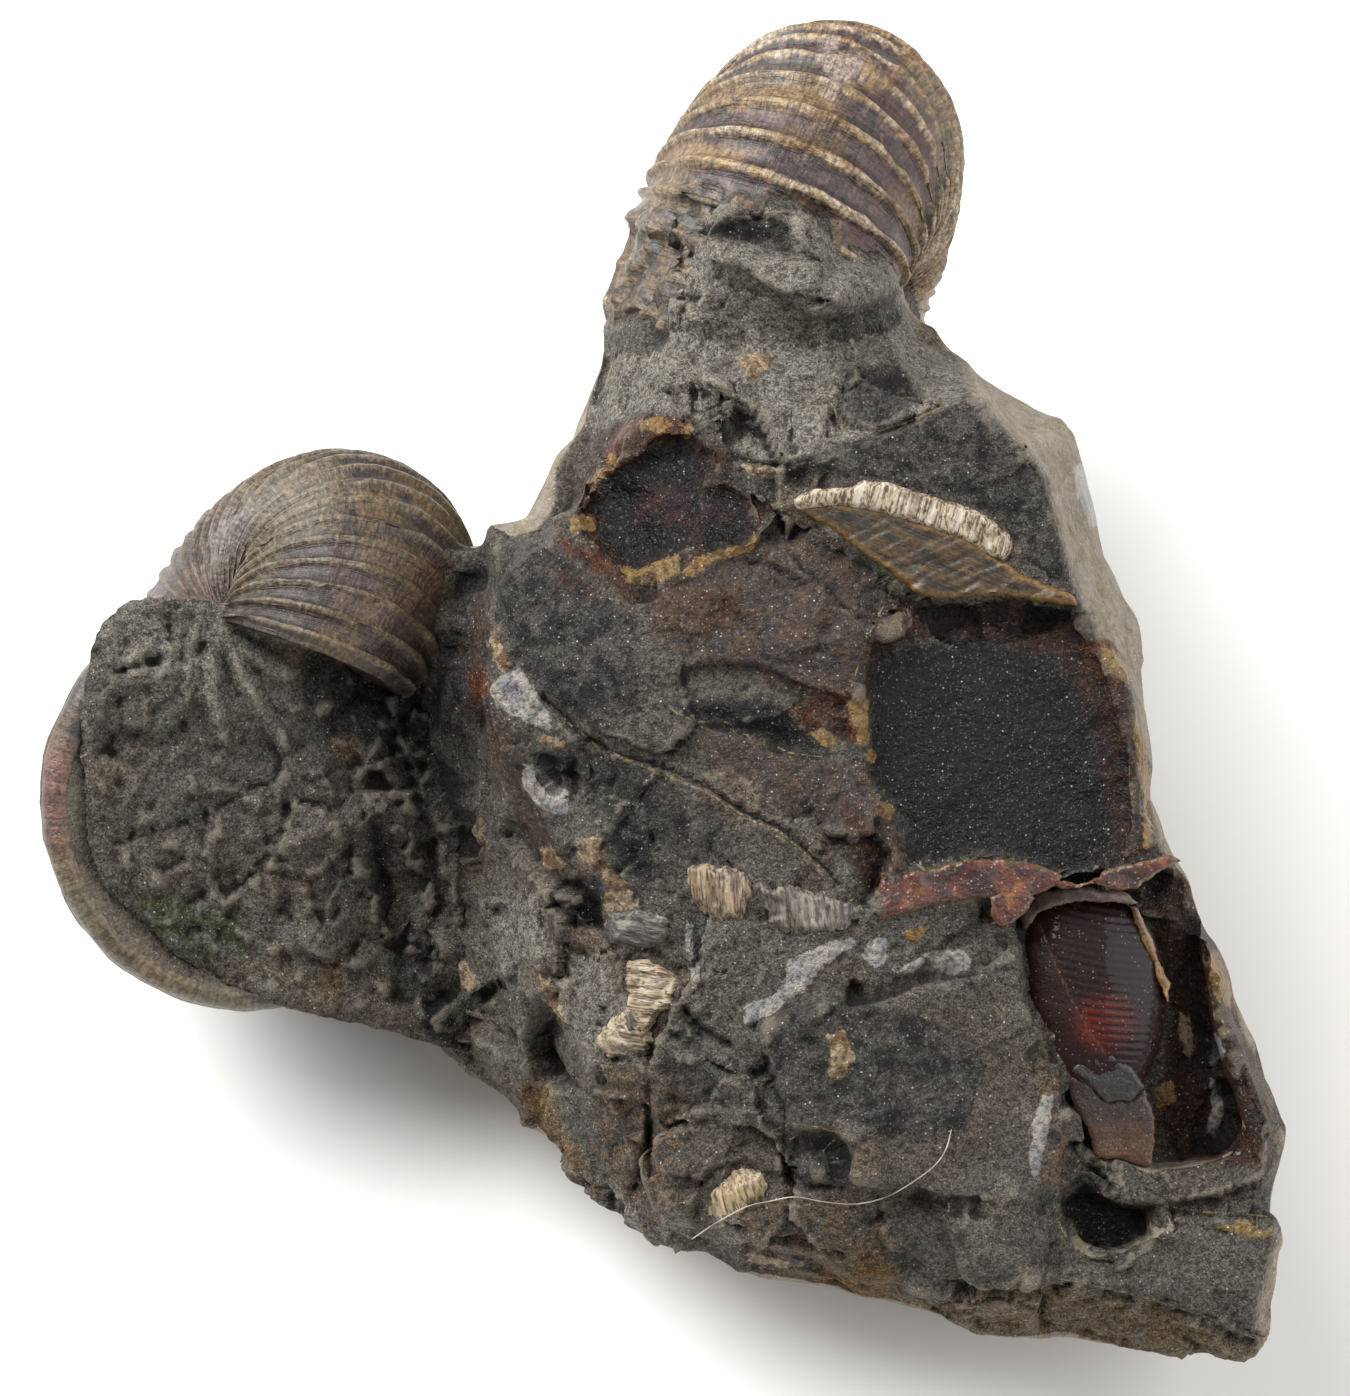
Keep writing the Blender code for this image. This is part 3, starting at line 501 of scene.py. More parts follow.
def brokenMudstone():
    # Dark silty mudstone, freshly broken: dull, with a fine grain, tiny pale mica and spar flecks, painted
    # glints and painted shade in creases.
    # What crosses it, such as spar, shell and rust, is painted on the mesh as distances in mm.
    look = rockLook
    made, tree, shader, where = startMaterial("brokenMudstone", {
        "IOR": 1.5, "Metallic": 0.0, "Specular IOR Level": 0.3})
    silt = noiseIn(tree, where, 1 / look["siltSize"], 2.0, 0.7)
    patch = noiseIn(tree, where, 0.28, 4.0, 0.6, 0.6)
    broad = noiseIn(tree, where, 0.11, 2.0, 0.5)
    mottle = noiseIn(tree, where, 1.3, 5.0, 0.7)
    base = blend(tree, ramp(tree, patch, 0.4, 0.6), colour(look["grey"]), colour(look["greenGrey"]))
    base = blend(tree, ramp(tree, broad, 0.48, 0.62, 0, 0.8), base, colour(look["brownGrey"]))
    base = blend(tree, ramp(tree, mottle, 0.5, 0.7, 0, 0.75), base, colour(look["darkGrey"]))
    base = blend(tree, ramp(tree, mottle, 0.4, 0.28, 0, 0.22), base, colour(look["weathered"]))
    facet = painted(tree, "facet")
    base = blend(tree, ramp(tree, facet, 0.55, 0.75, 0, 0.7), base, colour(look["brownGrey"]))
    base = blend(tree, ramp(tree, facet, 0.45, 0.25, 0, 0.6), base, colour(look["darkGrey"]))
    roughness = ramp(tree, silt, 0.3, 0.7, look["roughness"], look["roughness"] - 0.18)

    vary = noiseIn(tree, where, 0.9, 4.0, 0.65, 0.4)
    sparkle = calm = 0.0
    for name, (first, second, edge, wander, dull, _) in rockFinishes.items():
        mask = zoneMask(tree, name, where, edge, wander)
        tint = blend(tree, ramp(tree, vary, 0.42, 0.62), colour(look[first]), colour(look[second]))
        base = blend(tree, mask, base, tint)
        roughness = addNode(tree, "ShaderNodeMix", {"data_type": "FLOAT"}, {
            "Factor": mask, 2: roughness, 3: dull}).outputs[0]
        if name in look["sparkling"]:
            sparkle = sums(tree, "MULTIPLY_ADD", mask, 0.3, sparkle)
        if name in look["calm"]:
            calm = sums(tree, "MAXIMUM", sums(tree, "MULTIPLY", mask, 0.65), calm)
        if name == "weathered":     # the walls are mottled least
            mottling = sums(tree, "MULTIPLY_ADD", mask, -0.5, 0.8)
    flecks = specks(tree, where, 8.0, 0.42, 0.32)
    # painted glints: bright specks where mica and spar grains catch the light, and painted sparkle on some
    # zones
    paintedGlint = specks(tree, where, 4.3, 0.24, 0.2)
    paintedSparkle = specks(tree, where, 2.2, 0.3, 0.5)
    grainy = sums(tree, "SUBTRACT", 0.9, calm)
    base = blend(tree, sums(tree, "MULTIPLY", flecks, 0.5), base, colour(look["flecks"]))
    base = blend(tree, sums(tree, "MULTIPLY", paintedGlint, 0.85), base, colour(look["paintedGlint"]))
    base = blend(tree, sums(tree, "MULTIPLY", paintedSparkle, sparkle), base, colour(look["paintedSparkle"]))
    middling = noiseIn(tree, where, 3.2, 3.0, 0.7)
    base = shadeWith(tree, base, silt, 0.3, 0.7, "#646464", grainy)
    base = shadeWith(tree, base, middling, 0.36, 0.56, "#8a8a8a", mottling)
    # painted shade: darker where the surface bends in, in creases and crevices
    bend = sums(tree, "MULTIPLY_ADD", sums(tree, "SUBTRACT", middling, 0.5), 0.05, painted(tree, "bend"))
    base = shadeWith(tree, base, bend, -0.14, -0.02, "#504a46", 0.85)
    worn = blend(tree, 0.5, base, colour(look["worn"]))
    wear = sums(tree, "MULTIPLY", ramp(tree, bend, 0.035, 0.13, 0, 0.6), grainy)
    base = blend(tree, wear, base, worn)
    roughness = sums(tree, "SUBTRACT", roughness, sums(tree, "MULTIPLY", paintedGlint, 0.4))
    height = sums(tree, "MULTIPLY_ADD", silt, 0.3, sums(tree, "MULTIPLY_ADD", middling, 0.7, mottle))
    finishShader(tree, shader, base, roughness, height, 0.28)
    return made


# The rock

rock = {
    "coarse": 0.87,         # mm between points before the skin is refined
    "sinkUnderShell": 0.6,  # mm that the skin lies under each piece let into it
    "sinkUnderBreak": 1.6,  # mm more under the rough break of the left limb
    "chipSizes": ((6.0, 0.95), (2.4, 0.4), (1.0, 0.09)),    # mm across a chip, mm high
    "layers": (5.5, 0.6, 0.3),      # mm across, how much, and mm for each layer
    "grainSize": 0.6, "grainHigh": 0.05,    # mm
    "wallExtra": 0.5,       # how rough the walls are, as a share
    "sideWall": (20, 16),   # mm right of the middle and mm high: the part of the right wall left unpainted
    "evenedShare": 0.6, "evenedSteps": 4,       # how far the steep sides are evened out
    "hollowShare": 0.7, "hollowSteps": 14,      # and the deep hollows
}

# Where the broken face is smoother or rougher than elsewhere: outline and share of the relief
faceTempers = [
    ([(793, 462), (942, 410), (970, 396), (1044, 475), (1082, 607), (1010, 570), (990, 520),
      (860, 481)], 0.3),
    ([(865, 640), (1090, 640), (1135, 700), (1150, 860), (1059, 878), (944, 868), (905, 870),
      (865, 740)], 0.08),
    ([(500, 545), (560, 535), (630, 590), (650, 690), (600, 735), (545, 695), (505, 640)], 0.3),
    ([(757, 1025), (905, 992), (1017, 935), (1067, 1060), (1070, 1190), (1030, 1205), (800, 1190),
      (770, 1090)], 0.3),
    ([(1142, 1226), (1275, 1236), (1262, 1330), (1100, 1285)], 0.4),
    ([(907, 1225), (1035, 1215), (1046, 1270), (930, 1290)], 0.25),
    ([(598, 470), (700, 445), (750, 520), (640, 575), (600, 545)], 0.15),
    ([(640, 765), (740, 805), (850, 890), (760, 880), (640, 830)], 0.5),
    ([(1055, 1190), (1165, 1205), (1110, 1258)], 0.1),
    ([(975, 396), (1046, 478), (1100, 640), (1155, 800), (1190, 870), (1400, 1400), (1400, 600),
      (1050, 380)], 0.5),
    ([(540, 830), (700, 850), (760, 1000), (780, 1250), (690, 1250), (560, 1180), (470, 1060),
      (440, 900)], 1.0),
    ([(600, 230), (690, 215), (900, 255), (960, 300), (985, 380), (940, 412), (800, 462), (700, 440),
      (600, 440)], 0.8),
    ([(650, 560), (850, 520), (880, 680), (860, 830), (690, 760), (680, 700)], 0.55),
    ([(757, 1025), (760, 950), (860, 920), (1015, 915), (1025, 940), (905, 1000)], 0.4),
    ([(930, 1180), (1060, 1170), (1060, 1230), (930, 1240)], 0.4),
    ([(1165, 850), (1215, 900), (1250, 1000), (1300, 1100), (1300, 1180), (1200, 1180), (1150, 1100),
      (1160, 950)], 0.35),
]

# Forms on the face: an outline, how far it stands out in mm, and the run of its edge in pixels
faceForms = [
    # slabs, ledges and hollows below the upper whorl
    ([(703, 195), (721, 190), (739, 195), (742, 213), (717, 221), (701, 212)], 0.5, 4),
    ([(740, 199), (774, 208), (806, 200), (800, 213), (778, 214), (746, 213)], 0.6, 4),
    ([(806, 202), (831, 222), (826, 262), (806, 252), (792, 234), (789, 222)], 0.55, 4),
    ([(689, 227), (717, 225), (739, 219), (760, 216), (786, 223), (800, 258), (770, 250), (735, 240),
      (704, 240)], -0.5, 8),
    ([(700, 262), (735, 250), (790, 262), (850, 262), (890, 275), (892, 291), (871, 300), (837, 314),
      (808, 322), (777, 297), (740, 285)], 0.45, 5),
    ([(768, 322), (808, 328), (840, 320), (871, 304), (893, 296), (897, 320), (880, 335), (840, 349),
      (790, 350), (766, 338)], -0.55, 8),
    ([(637, 299), (653, 284), (678, 288), (685, 297), (678, 324), (660, 331), (628, 327)], 0.45, 4),
    ([(598, 349), (613, 350), (605, 378), (598, 408), (590, 402)], -0.5, 6),
    ([(706, 377), (728, 377), (735, 399), (735, 416), (717, 424), (706, 406)], 0.3, 3),
    ([(738, 386), (812, 376), (816, 392), (835, 412), (840, 430), (815, 445), (760, 440),
      (745, 424)], -0.17, 4),
    ([(858, 355), (900, 352), (918, 392), (940, 404), (900, 424), (875, 430), (848, 426), (838, 408),
      (845, 392)], 0.5, 4),
    ([(612, 360), (660, 352), (690, 362), (700, 380), (670, 392), (630, 384)], 0.35, 5),
    # the slab with the fibrous plate, and the chambers
    ([(788, 466), (850, 446), (905, 428), (942, 410), (960, 398), (975, 398), (1044, 476), (1082, 605),
      (1020, 570), (985, 517), (915, 491), (860, 480), (808, 488)], 0.35, 3),
    ([(600, 476), (650, 451), (690, 453), (706, 465), (697, 500), (698, 538), (679, 550), (639, 569),
      (625, 564), (607, 542), (597, 526)], -0.28, 6),
    ([(651, 593), (700, 586), (738, 588), (736, 628), (700, 634), (655, 628)], 0.18, 4),
    ([(744, 562), (766, 560), (782, 570), (805, 580), (821, 597), (797, 597), (773, 586)], -0.33, 5),
    ([(665, 700), (698, 696), (738, 692), (773, 696), (800, 712), (810, 733), (781, 730), (722, 720),
      (680, 712)], 0.25, 5),
    ([(660, 706), (690, 722), (727, 726), (734, 736), (778, 750), (826, 756), (812, 764), (760, 752),
      (690, 732)], -0.19, 4),
    ([(560, 745), (640, 768), (709, 797), (751, 824), (800, 855), (836, 890), (800, 902), (750, 882),
      (690, 862), (640, 836), (590, 816), (575, 782)], -0.17, 3),
    # the lumpy lower left
    ([(550, 886), (580, 880), (604, 905), (604, 930), (575, 926), (552, 906)], -0.5, 6),
    ([(479, 1004), (497, 992), (520, 990), (530, 1010), (533, 1060), (522, 1108), (500, 1092), (482, 1060),
      (472, 1030)], 0.7, 16),
    ([(478, 1008), (486, 990), (497, 981), (515, 976), (522, 986), (500, 989), (488, 1000),
      (480, 1020)], -0.44, 4),
    ([(595, 1062), (640, 1062), (668, 1080), (672, 1110), (650, 1122), (642, 1170), (604, 1172), (585, 1120),
      (580, 1090)], 0.5, 8),
    ([(645, 1088), (653, 1088), (655, 1180), (647, 1180)], -0.39, 4),
    ([(657, 1126), (700, 1105), (760, 1110), (782, 1150), (784, 1180), (750, 1160), (715, 1165), (700, 1180),
      (690, 1226), (662, 1220)], 0.45, 8),
    ([(684, 1008), (702, 1026), (731, 1043), (728, 1052), (696, 1036), (680, 1016)], -0.39, 4),
    ([(540, 900), (552, 935), (590, 950), (600, 975), (575, 1000), (560, 960), (540, 930)], -0.39, 6),
    ([(436, 930), (460, 925), (478, 950), (488, 985), (470, 1005), (446, 990)], 0.5, 10),
    ([(600, 905), (668, 912), (672, 946), (604, 950)], 0.2, 4),
    # the lower right
    ([(787, 1131), (830, 1135), (853, 1150), (846, 1188), (796, 1190), (784, 1180)], -0.39, 5),
    ([(760, 1020), (800, 1000), (905, 995), (975, 1035), (985, 1070), (965, 1135), (940, 1150), (860, 1130),
      (792, 1122), (770, 1085)], -0.088, 3),
    ([(1040, 1277), (1075, 1262), (1120, 1265), (1142, 1240), (1165, 1215), (1274, 1220), (1280, 1245),
      (1262, 1300), (1261, 1341), (1230, 1327), (1195, 1313), (1143, 1296), (1092, 1285)], 0.4, 3),
    ([(1055, 415), (1076, 431), (1092, 480), (1102, 530), (1085, 528), (1070, 480), (1058, 440)], 0.8, 14),
]

# Cracks: the line, half its width in pixels and how deep it is in mm
crackLines = [
    ([(542, 696), (568, 719), (580, 734), (600, 743), (617, 754), (644, 761), (675, 772), (709, 788),
      (731, 804), (751, 815), (778, 826), (800, 845), (825, 868), (838, 885)], 1.4, 0.4),
    ([(703, 391), (721, 431), (735, 459), (760, 463), (789, 466)], 1.2, 0.3),
    ([(731, 381), (739, 399), (740, 416), (749, 428), (755, 436)], 1.6, 0.3),
    ([(792, 406), (791, 420), (793, 436)], 0.9, 0.15),
    ([(936, 1306), (967, 1301), (998, 1298), (1023, 1303), (1038, 1311)], 1.8, 0.35),
    ([(648, 1085), (650, 1110), (647, 1140), (651, 1177)], 1.4, 0.3),
    ([(685, 1008), (700, 1026), (731, 1046)], 1.6, 0.3),
    ([(757, 1025), (768, 1083), (784, 1105), (784, 1174)], 1.0, 0.3),
    ([(836, 409), (845, 392), (858, 384), (872, 372)], 1.4, 0.3),
    ([(903, 398), (920, 402), (939, 405)], 1.8, 0.3),
]
# Thin pale veins and lips: the line and half its width in pixels
veinLines = [
    ([(815, 374), (815, 384), (835, 409), (839, 424), (846, 432), (874, 432), (903, 424), (939, 409),
      (972, 397)], 1.1),
    ([(548, 702), (572, 726), (602, 749), (646, 767), (710, 794), (752, 821), (780, 832), (803, 851),
      (828, 874), (838, 887)], 1.5),
    ([(629, 310), (637, 298), (653, 284)], 1.0),
    ([(616, 350), (610, 372), (603, 396)], 1.2),
    ([(663, 698), (675, 713), (698, 722), (726, 722), (735, 732), (758, 738), (789, 753), (830, 758)], 1.1),
    ([(894, 585), (880, 614), (866, 640), (858, 664), (853, 687)], 1.0),
    ([(1167, 1206), (1212, 1213), (1240, 1214), (1272, 1217)], 1.4),
    ([(1043, 1275), (1092, 1285), (1143, 1296), (1195, 1313), (1230, 1327), (1258, 1340)], 1.5),
    ([(1057, 1218), (1064, 1234), (1078, 1250), (1096, 1258), (1114, 1258)], 1.8),
    ([(792, 1124), (822, 1128), (853, 1137)], 1.2),
]

# Deep hollows whose sides are evened out more than elsewhere
easedHollows = [
    [(755, 305), (800, 318), (860, 296), (905, 282), (912, 335), (885, 362), (780, 366), (752, 345)],
    [(425, 530), (482, 530), (490, 660), (478, 780), (440, 780), (428, 640)],
]

# What is painted on the face, as outlines
faceZones = {
    "umber": [
        [(600, 1060), (680, 1080), (700, 1180), (650, 1230), (590, 1150)],
        [(730, 1200), (850, 1195), (900, 1240), (860, 1290), (760, 1280)],
        [(1035, 1060), (1070, 1060), (1072, 1185), (1040, 1185)],
    ],
    "paleGrey": [
        [(560, 960), (600, 950), (640, 1060), (600, 1080), (560, 1030)],
        [(480, 900), (540, 890), (550, 960), (500, 980)],
        [(700, 1200), (760, 1190), (780, 1240), (720, 1250)],
        [(600, 1180), (650, 1175), (690, 1230), (640, 1250)],
        [(640, 200), (740, 186), (830, 206), (880, 250), (930, 300), (985, 380), (940, 412), (860, 440),
         (760, 462), (700, 420), (640, 410), (600, 440), (575, 410), (600, 330)],
        [(612, 345), (700, 355), (735, 375), (700, 395), (620, 390), (600, 440), (585, 420)],
        [(700, 395), (720, 430), (740, 455), (800, 462), (900, 430), (940, 412), (850, 440), (760, 440)],
        [(900, 350), (950, 345), (985, 380), (960, 395), (925, 385)],
    ],
    # dark rock, and painted shade in the hollows, under the overhangs and in the gap beside the left limb
    "dark": [
        [(689, 224), (717, 224), (739, 216), (760, 213), (786, 221), (800, 262), (770, 250), (735, 240),
         (706, 238)],
        [(770, 1010), (850, 1000), (905, 1010), (975, 1040), (985, 1070), (965, 1130), (900, 1145),
         (850, 1120), (790, 1120), (768, 1083)],
        [(770, 320), (812, 326), (856, 308), (896, 290), (900, 318), (886, 340), (840, 352), (786, 352)],
        [(787, 1131), (830, 1133), (853, 1150), (846, 1188), (796, 1190), (784, 1180)],
        [(500, 545), (560, 545), (600, 590), (636, 620), (640, 700), (610, 740), (560, 705), (515, 660),
         (495, 600)],
        [(695, 800), (724, 806), (722, 862), (698, 856)],
        [(560, 880), (600, 880), (606, 930), (575, 928), (548, 900)],
        [(845, 372), (900, 360), (920, 400), (880, 428), (845, 424), (836, 408)],
        [(432, 535), (478, 535), (484, 640), (474, 760), (450, 900), (432, 820)],
        [(793, 462), (942, 410), (970, 396), (1044, 475), (1082, 607), (1010, 570), (990, 520), (860, 481)],
        [(580, 750), (640, 770), (690, 800), (690, 850), (620, 830), (590, 800)],
    ],
    "weathered": [
        [(948, 330), (975, 396), (994, 418), (1024, 448), (1046, 478), (1054, 516), (1068, 563), (1082, 607),
         (1094, 623), (1096, 644), (1113, 661), (1126, 675), (1134, 698), (1136, 722), (1144, 751),
         (1153, 776), (1154, 799), (1150, 812), (1158, 836), (1162, 852), (1176, 858), (1190, 873),
         (1204, 908), (1218, 949), (1230, 1010), (1246, 1040), (1260, 1075), (1270, 1100), (1278, 1130),
         (1280, 1156), (1278, 1195), (1280, 1214), (1278, 1237), (1270, 1252), (1266, 1281), (1258, 1302),
         (1256, 1329), (1262, 1400), (1400, 1400), (1400, 900), (1250, 600), (1150, 400), (1000, 320)],
    ],
    "tan": [
        [(1178, 856), (1190, 873), (1210, 920), (1228, 975), (1240, 1030), (1262, 1075), (1276, 1110),
         (1284, 1150), (1276, 1160), (1262, 1110), (1240, 1070), (1222, 1020), (1208, 960), (1196, 910),
         (1172, 866)],
        [(930, 1300), (986, 1292), (1046, 1284), (1101, 1295), (1144, 1301), (1187, 1318), (1230, 1338),
         (1256, 1344), (1262, 1400), (1000, 1400), (880, 1330), (850, 1300)],
        [(519, 1082), (545, 1072), (562, 1120), (600, 1190), (575, 1180), (540, 1150)],
        [(900, 258), (950, 258), (952, 350), (925, 345), (905, 300)],
        [(602, 240), (648, 212), (660, 240), (640, 300), (606, 345)],
        [(465, 820), (480, 815), (487, 850), (472, 850)],
    ],
    "rust": [
        [(850, 1252), (878, 1256), (903, 1274), (898, 1296), (871, 1296), (846, 1286)],
        [(520, 1090), (548, 1085), (560, 1128), (580, 1165), (552, 1150), (532, 1126)],
        [(560, 1190), (600, 1205), (640, 1236), (600, 1222)],
        [(815, 1262), (850, 1270), (900, 1300), (850, 1304), (812, 1290)],
    ],
    "purple": [
        [(650, 590), (700, 565), (760, 530), (800, 525), (850, 560), (890, 590), (880, 640), (850, 690),
         (800, 700), (740, 672), (690, 655), (655, 640)],
        [(690, 726), (830, 758), (870, 760), (880, 830), (830, 830), (760, 790), (700, 745)],
        [(463, 600), (480, 590), (500, 640), (490, 690), (520, 730), (540, 800), (570, 860), (600, 900),
         (560, 890), (520, 830), (492, 770), (470, 700)],
        [(850, 780), (880, 790), (905, 850), (905, 880), (870, 880), (845, 840)],
    ],
    "brown": [
        [(651, 593), (700, 586), (740, 588), (738, 630), (700, 636), (655, 630)],
        [(600, 560), (640, 585), (650, 600), (620, 600), (590, 570)],
    ],
    "redBrown": [
        [(890, 596), (940, 598), (1010, 600), (1080, 608), (1100, 650), (1128, 690), (1146, 760), (1154, 850),
         (1110, 868), (1092, 860), (1100, 790), (1088, 720), (1060, 676), (1010, 650), (960, 636), (900, 645),
         (866, 690), (862, 650)],
        [(600, 430), (640, 415), (690, 418), (708, 445), (734, 450), (735, 488), (765, 505), (758, 540),
         (700, 560), (655, 590), (615, 580), (590, 550), (570, 520), (585, 480)],
        [(1140, 880), (1180, 862), (1200, 910), (1222, 960), (1236, 1020), (1266, 1095), (1276, 1170),
         (1180, 1160), (1156, 1110), (1172, 1010), (1150, 930)],
        [(840, 800), (880, 830), (905, 850), (905, 885), (870, 895), (846, 860)],
        [(560, 560), (600, 590), (590, 600), (555, 580)],
    ],
    "spar": [
        [(600, 480), (622, 468), (650, 451), (690, 453), (706, 465), (697, 500), (698, 530), (690, 540),
         (698, 546), (679, 552), (655, 560), (639, 569), (625, 564), (607, 542), (597, 526)],
        [(712, 492), (738, 494), (756, 512), (748, 532), (730, 542), (706, 550), (698, 540), (702, 510)],
        [(864, 668), (900, 646), (950, 636), (1010, 642), (1058, 662), (1088, 702), (1100, 750), (1110, 800),
         (1116, 850), (1086, 870), (1034, 868), (999, 855), (971, 855), (955, 863), (916, 863), (907, 858),
         (900, 815), (888, 799), (868, 775)],
        [(1060, 1196), (1085, 1182), (1094, 1180), (1105, 1196), (1126, 1204), (1167, 1210), (1161, 1220),
         (1143, 1237), (1126, 1248), (1112, 1254), (1095, 1254), (1078, 1241), (1060, 1213)],
        [(664, 704), (698, 700), (738, 697), (773, 700), (800, 714), (828, 750), (812, 757), (789, 751),
         (758, 737), (734, 731), (722, 721), (698, 721), (676, 712)],
        [(537, 754), (573, 756), (580, 774), (568, 787), (551, 772)],
        [(604, 836), (648, 832), (662, 868), (640, 884), (616, 866)],
        [(573, 872), (600, 880), (598, 896), (578, 890)],
    ],
    "ember": [[(638, 492), (668, 486), (696, 494), (694, 524), (660, 528), (636, 516)],
              [(708, 500), (738, 500), (746, 514), (722, 528)]],
    "orange": [
        [(607, 440), (623, 420), (655, 415), (688, 420), (690, 440), (650, 448), (625, 462), (606, 470)],
        [(746, 500), (775, 500), (768, 518), (750, 522)],
        [(788, 708), (813, 696), (837, 690), (868, 694), (870, 740), (850, 742), (830, 734), (806, 734)],
        [(468, 668), (484, 668), (493, 686), (482, 700), (470, 690)],
        [(1075, 640), (1110, 640), (1130, 670), (1120, 686), (1090, 672)],
        [(560, 536), (600, 556), (620, 575), (596, 572), (564, 552)],
        [(1204, 950), (1226, 945), (1236, 1005), (1222, 1010), (1210, 985)],
    ],
    "honey": [
        [(568, 516), (590, 514), (596, 522), (594, 530), (572, 532)],
        [(619, 566), (636, 571), (655, 562), (679, 554), (681, 576), (652, 586), (628, 582)],
        [(682, 574), (694, 559), (718, 550), (742, 545), (754, 533), (762, 536), (754, 547), (738, 555),
         (710, 564), (692, 578)],
        [(596, 472), (606, 458), (616, 450), (620, 466), (604, 478), (600, 492), (590, 500), (586, 484)],
        [(640, 420), (660, 416), (672, 424), (662, 434), (642, 430)],
        [(683, 424), (694, 426), (690, 442), (680, 440)],
        [(846, 700), (868, 700), (870, 745), (860, 746), (852, 722)],
        [(806, 734), (824, 728), (842, 744), (826, 749)],
        [(876, 800), (894, 806), (892, 818), (878, 816)],
        [(868, 748), (878, 750), (876, 764), (868, 762)],
        [(902, 923), (912, 913), (933, 913), (929, 927), (919, 940), (905, 940)],
        [(981, 899), (991, 896), (995, 909), (988, 921)],
        [(1212, 1227), (1240, 1220), (1276, 1219), (1273, 1239), (1256, 1237)],
        [(1098, 642), (1112, 650), (1128, 668), (1130, 684), (1112, 676), (1100, 660)],
        [(1136, 712), (1146, 740), (1152, 790), (1152, 850), (1144, 850), (1142, 790), (1132, 730)],
        [(1206, 955), (1216, 950), (1230, 985), (1230, 1008), (1216, 1000)],
        [(1154, 1088), (1172, 1080), (1176, 1100), (1158, 1108)],
    ],
    "pearl": [
        [(519, 667), (507, 673), (488, 687), (497, 707), (524, 721), (551, 732), (552, 718), (537, 694)],
        [(524, 765), (533, 765), (550, 778), (568, 792), (568, 814), (553, 814), (537, 805), (522, 787)],
        [(872, 938), (884, 936), (888, 946), (887, 962), (876, 968), (861, 955)],
        [(860, 938), (854, 946), (836, 957), (818, 972), (804, 992), (796, 997), (783, 1003), (776, 1014),
         (745, 1024), (746, 1004), (769, 997), (787, 981), (786, 962), (810, 950), (835, 940)],
        [(890, 968), (910, 964), (930, 952), (946, 949), (965, 951), (974, 966), (955, 976), (930, 970),
         (905, 974)],
        [(1029, 1163), (1033, 1123), (1043, 1094), (1053, 1096), (1050, 1123), (1042, 1158), (1035, 1184)],
        [(686, 918), (692, 925), (694, 955), (690, 964), (685, 950)],
        [(690, 968), (700, 966), (699, 985), (692, 996)],
        [(1205, 1036), (1216, 1032), (1224, 1050), (1220, 1072), (1210, 1066)],
        [(1208, 1078), (1220, 1080), (1224, 1110), (1216, 1140), (1206, 1130), (1212, 1104)],
        [(1072, 468), (1084, 462), (1098, 490), (1102, 522), (1090, 530), (1078, 500)],
    ],
    "chip": [
        [(497, 622), (488, 640), (496, 668), (506, 673), (515, 664), (504, 652), (500, 636)],
        [(539, 734), (552, 736), (566, 742), (562, 748), (542, 745)],
        [(740, 463), (763, 465), (787, 467), (786, 475), (748, 474)],
        [(573, 841), (600, 833), (609, 866), (626, 884), (641, 906), (622, 911), (602, 911), (608, 890),
         (596, 870), (578, 855)],
        [(539, 849), (550, 845), (566, 866), (560, 872), (545, 866)],
        [(827, 1037), (838, 1029), (846, 1032), (855, 1058), (848, 1072), (836, 1080), (827, 1072),
         (832, 1056)],
        [(537, 975), (549, 977), (558, 996), (568, 1020), (564, 1026), (550, 1012), (544, 990)],
        [(457, 958), (467, 962), (480, 984), (474, 990), (455, 988), (462, 974)],
        [(740, 1250), (770, 1256), (790, 1262), (786, 1268), (750, 1262)],
        [(674, 238), (684, 246), (692, 270), (684, 276), (674, 262)],
        [(1180, 1012), (1190, 1018), (1194, 1050), (1186, 1058), (1178, 1036)],
        [(735, 359), (753, 352), (774, 356), (771, 366), (756, 381), (746, 372)],
    ],
    # painted shade in the deepest hollows
    "black": [
        [(598, 352), (611, 352), (604, 378), (598, 405), (592, 400)],
        [(786, 462), (812, 458), (806, 478), (790, 486), (782, 476)],
        [(690, 226), (720, 228), (760, 222), (780, 232), (760, 240), (720, 236)],
        [(560, 892), (590, 890), (602, 922), (580, 924)],
    ],
}


def paintFrom(mesh, x, y, shown, zones, weathered=None):
    # every finish's distance in mm from its outlines, only where the eye sees the surface
    for name in rockFinishes:
        inside = depthInAny(x, y, shown, zones.get(name, ())) * pixelMm
        if name == "weathered" and weathered is not None:
            inside = np.maximum(inside, weathered)
        paint(mesh, name, inside)


cadOrder = sorted(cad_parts)


def cadNet():
    # every CAD solid's triangles, and the node that each belongs to
    points, faces, owners = [], [], []
    for k, name in enumerate(cadOrder):
        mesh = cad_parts[name].data
        first = len(points)
        points += [v.co.copy() for v in mesh.vertices]
        for face in mesh.polygons:
            faces.append([first + i for i in face.vertices])
            owners.append(k)
    return points, faces, owners


def refine(mesh, wanted):
    # splits the faces that are wanted in four
    shape = bmesh.new()
    shape.from_mesh(mesh)
    edges = {edge for face in shape.faces if wanted(face) for edge in face.edges}
    bmesh.ops.subdivide_edges(shape, edges=list(edges), cuts=1, use_grid_fill=True)
    shape.to_mesh(mesh)
    shape.free()
    mesh.update()


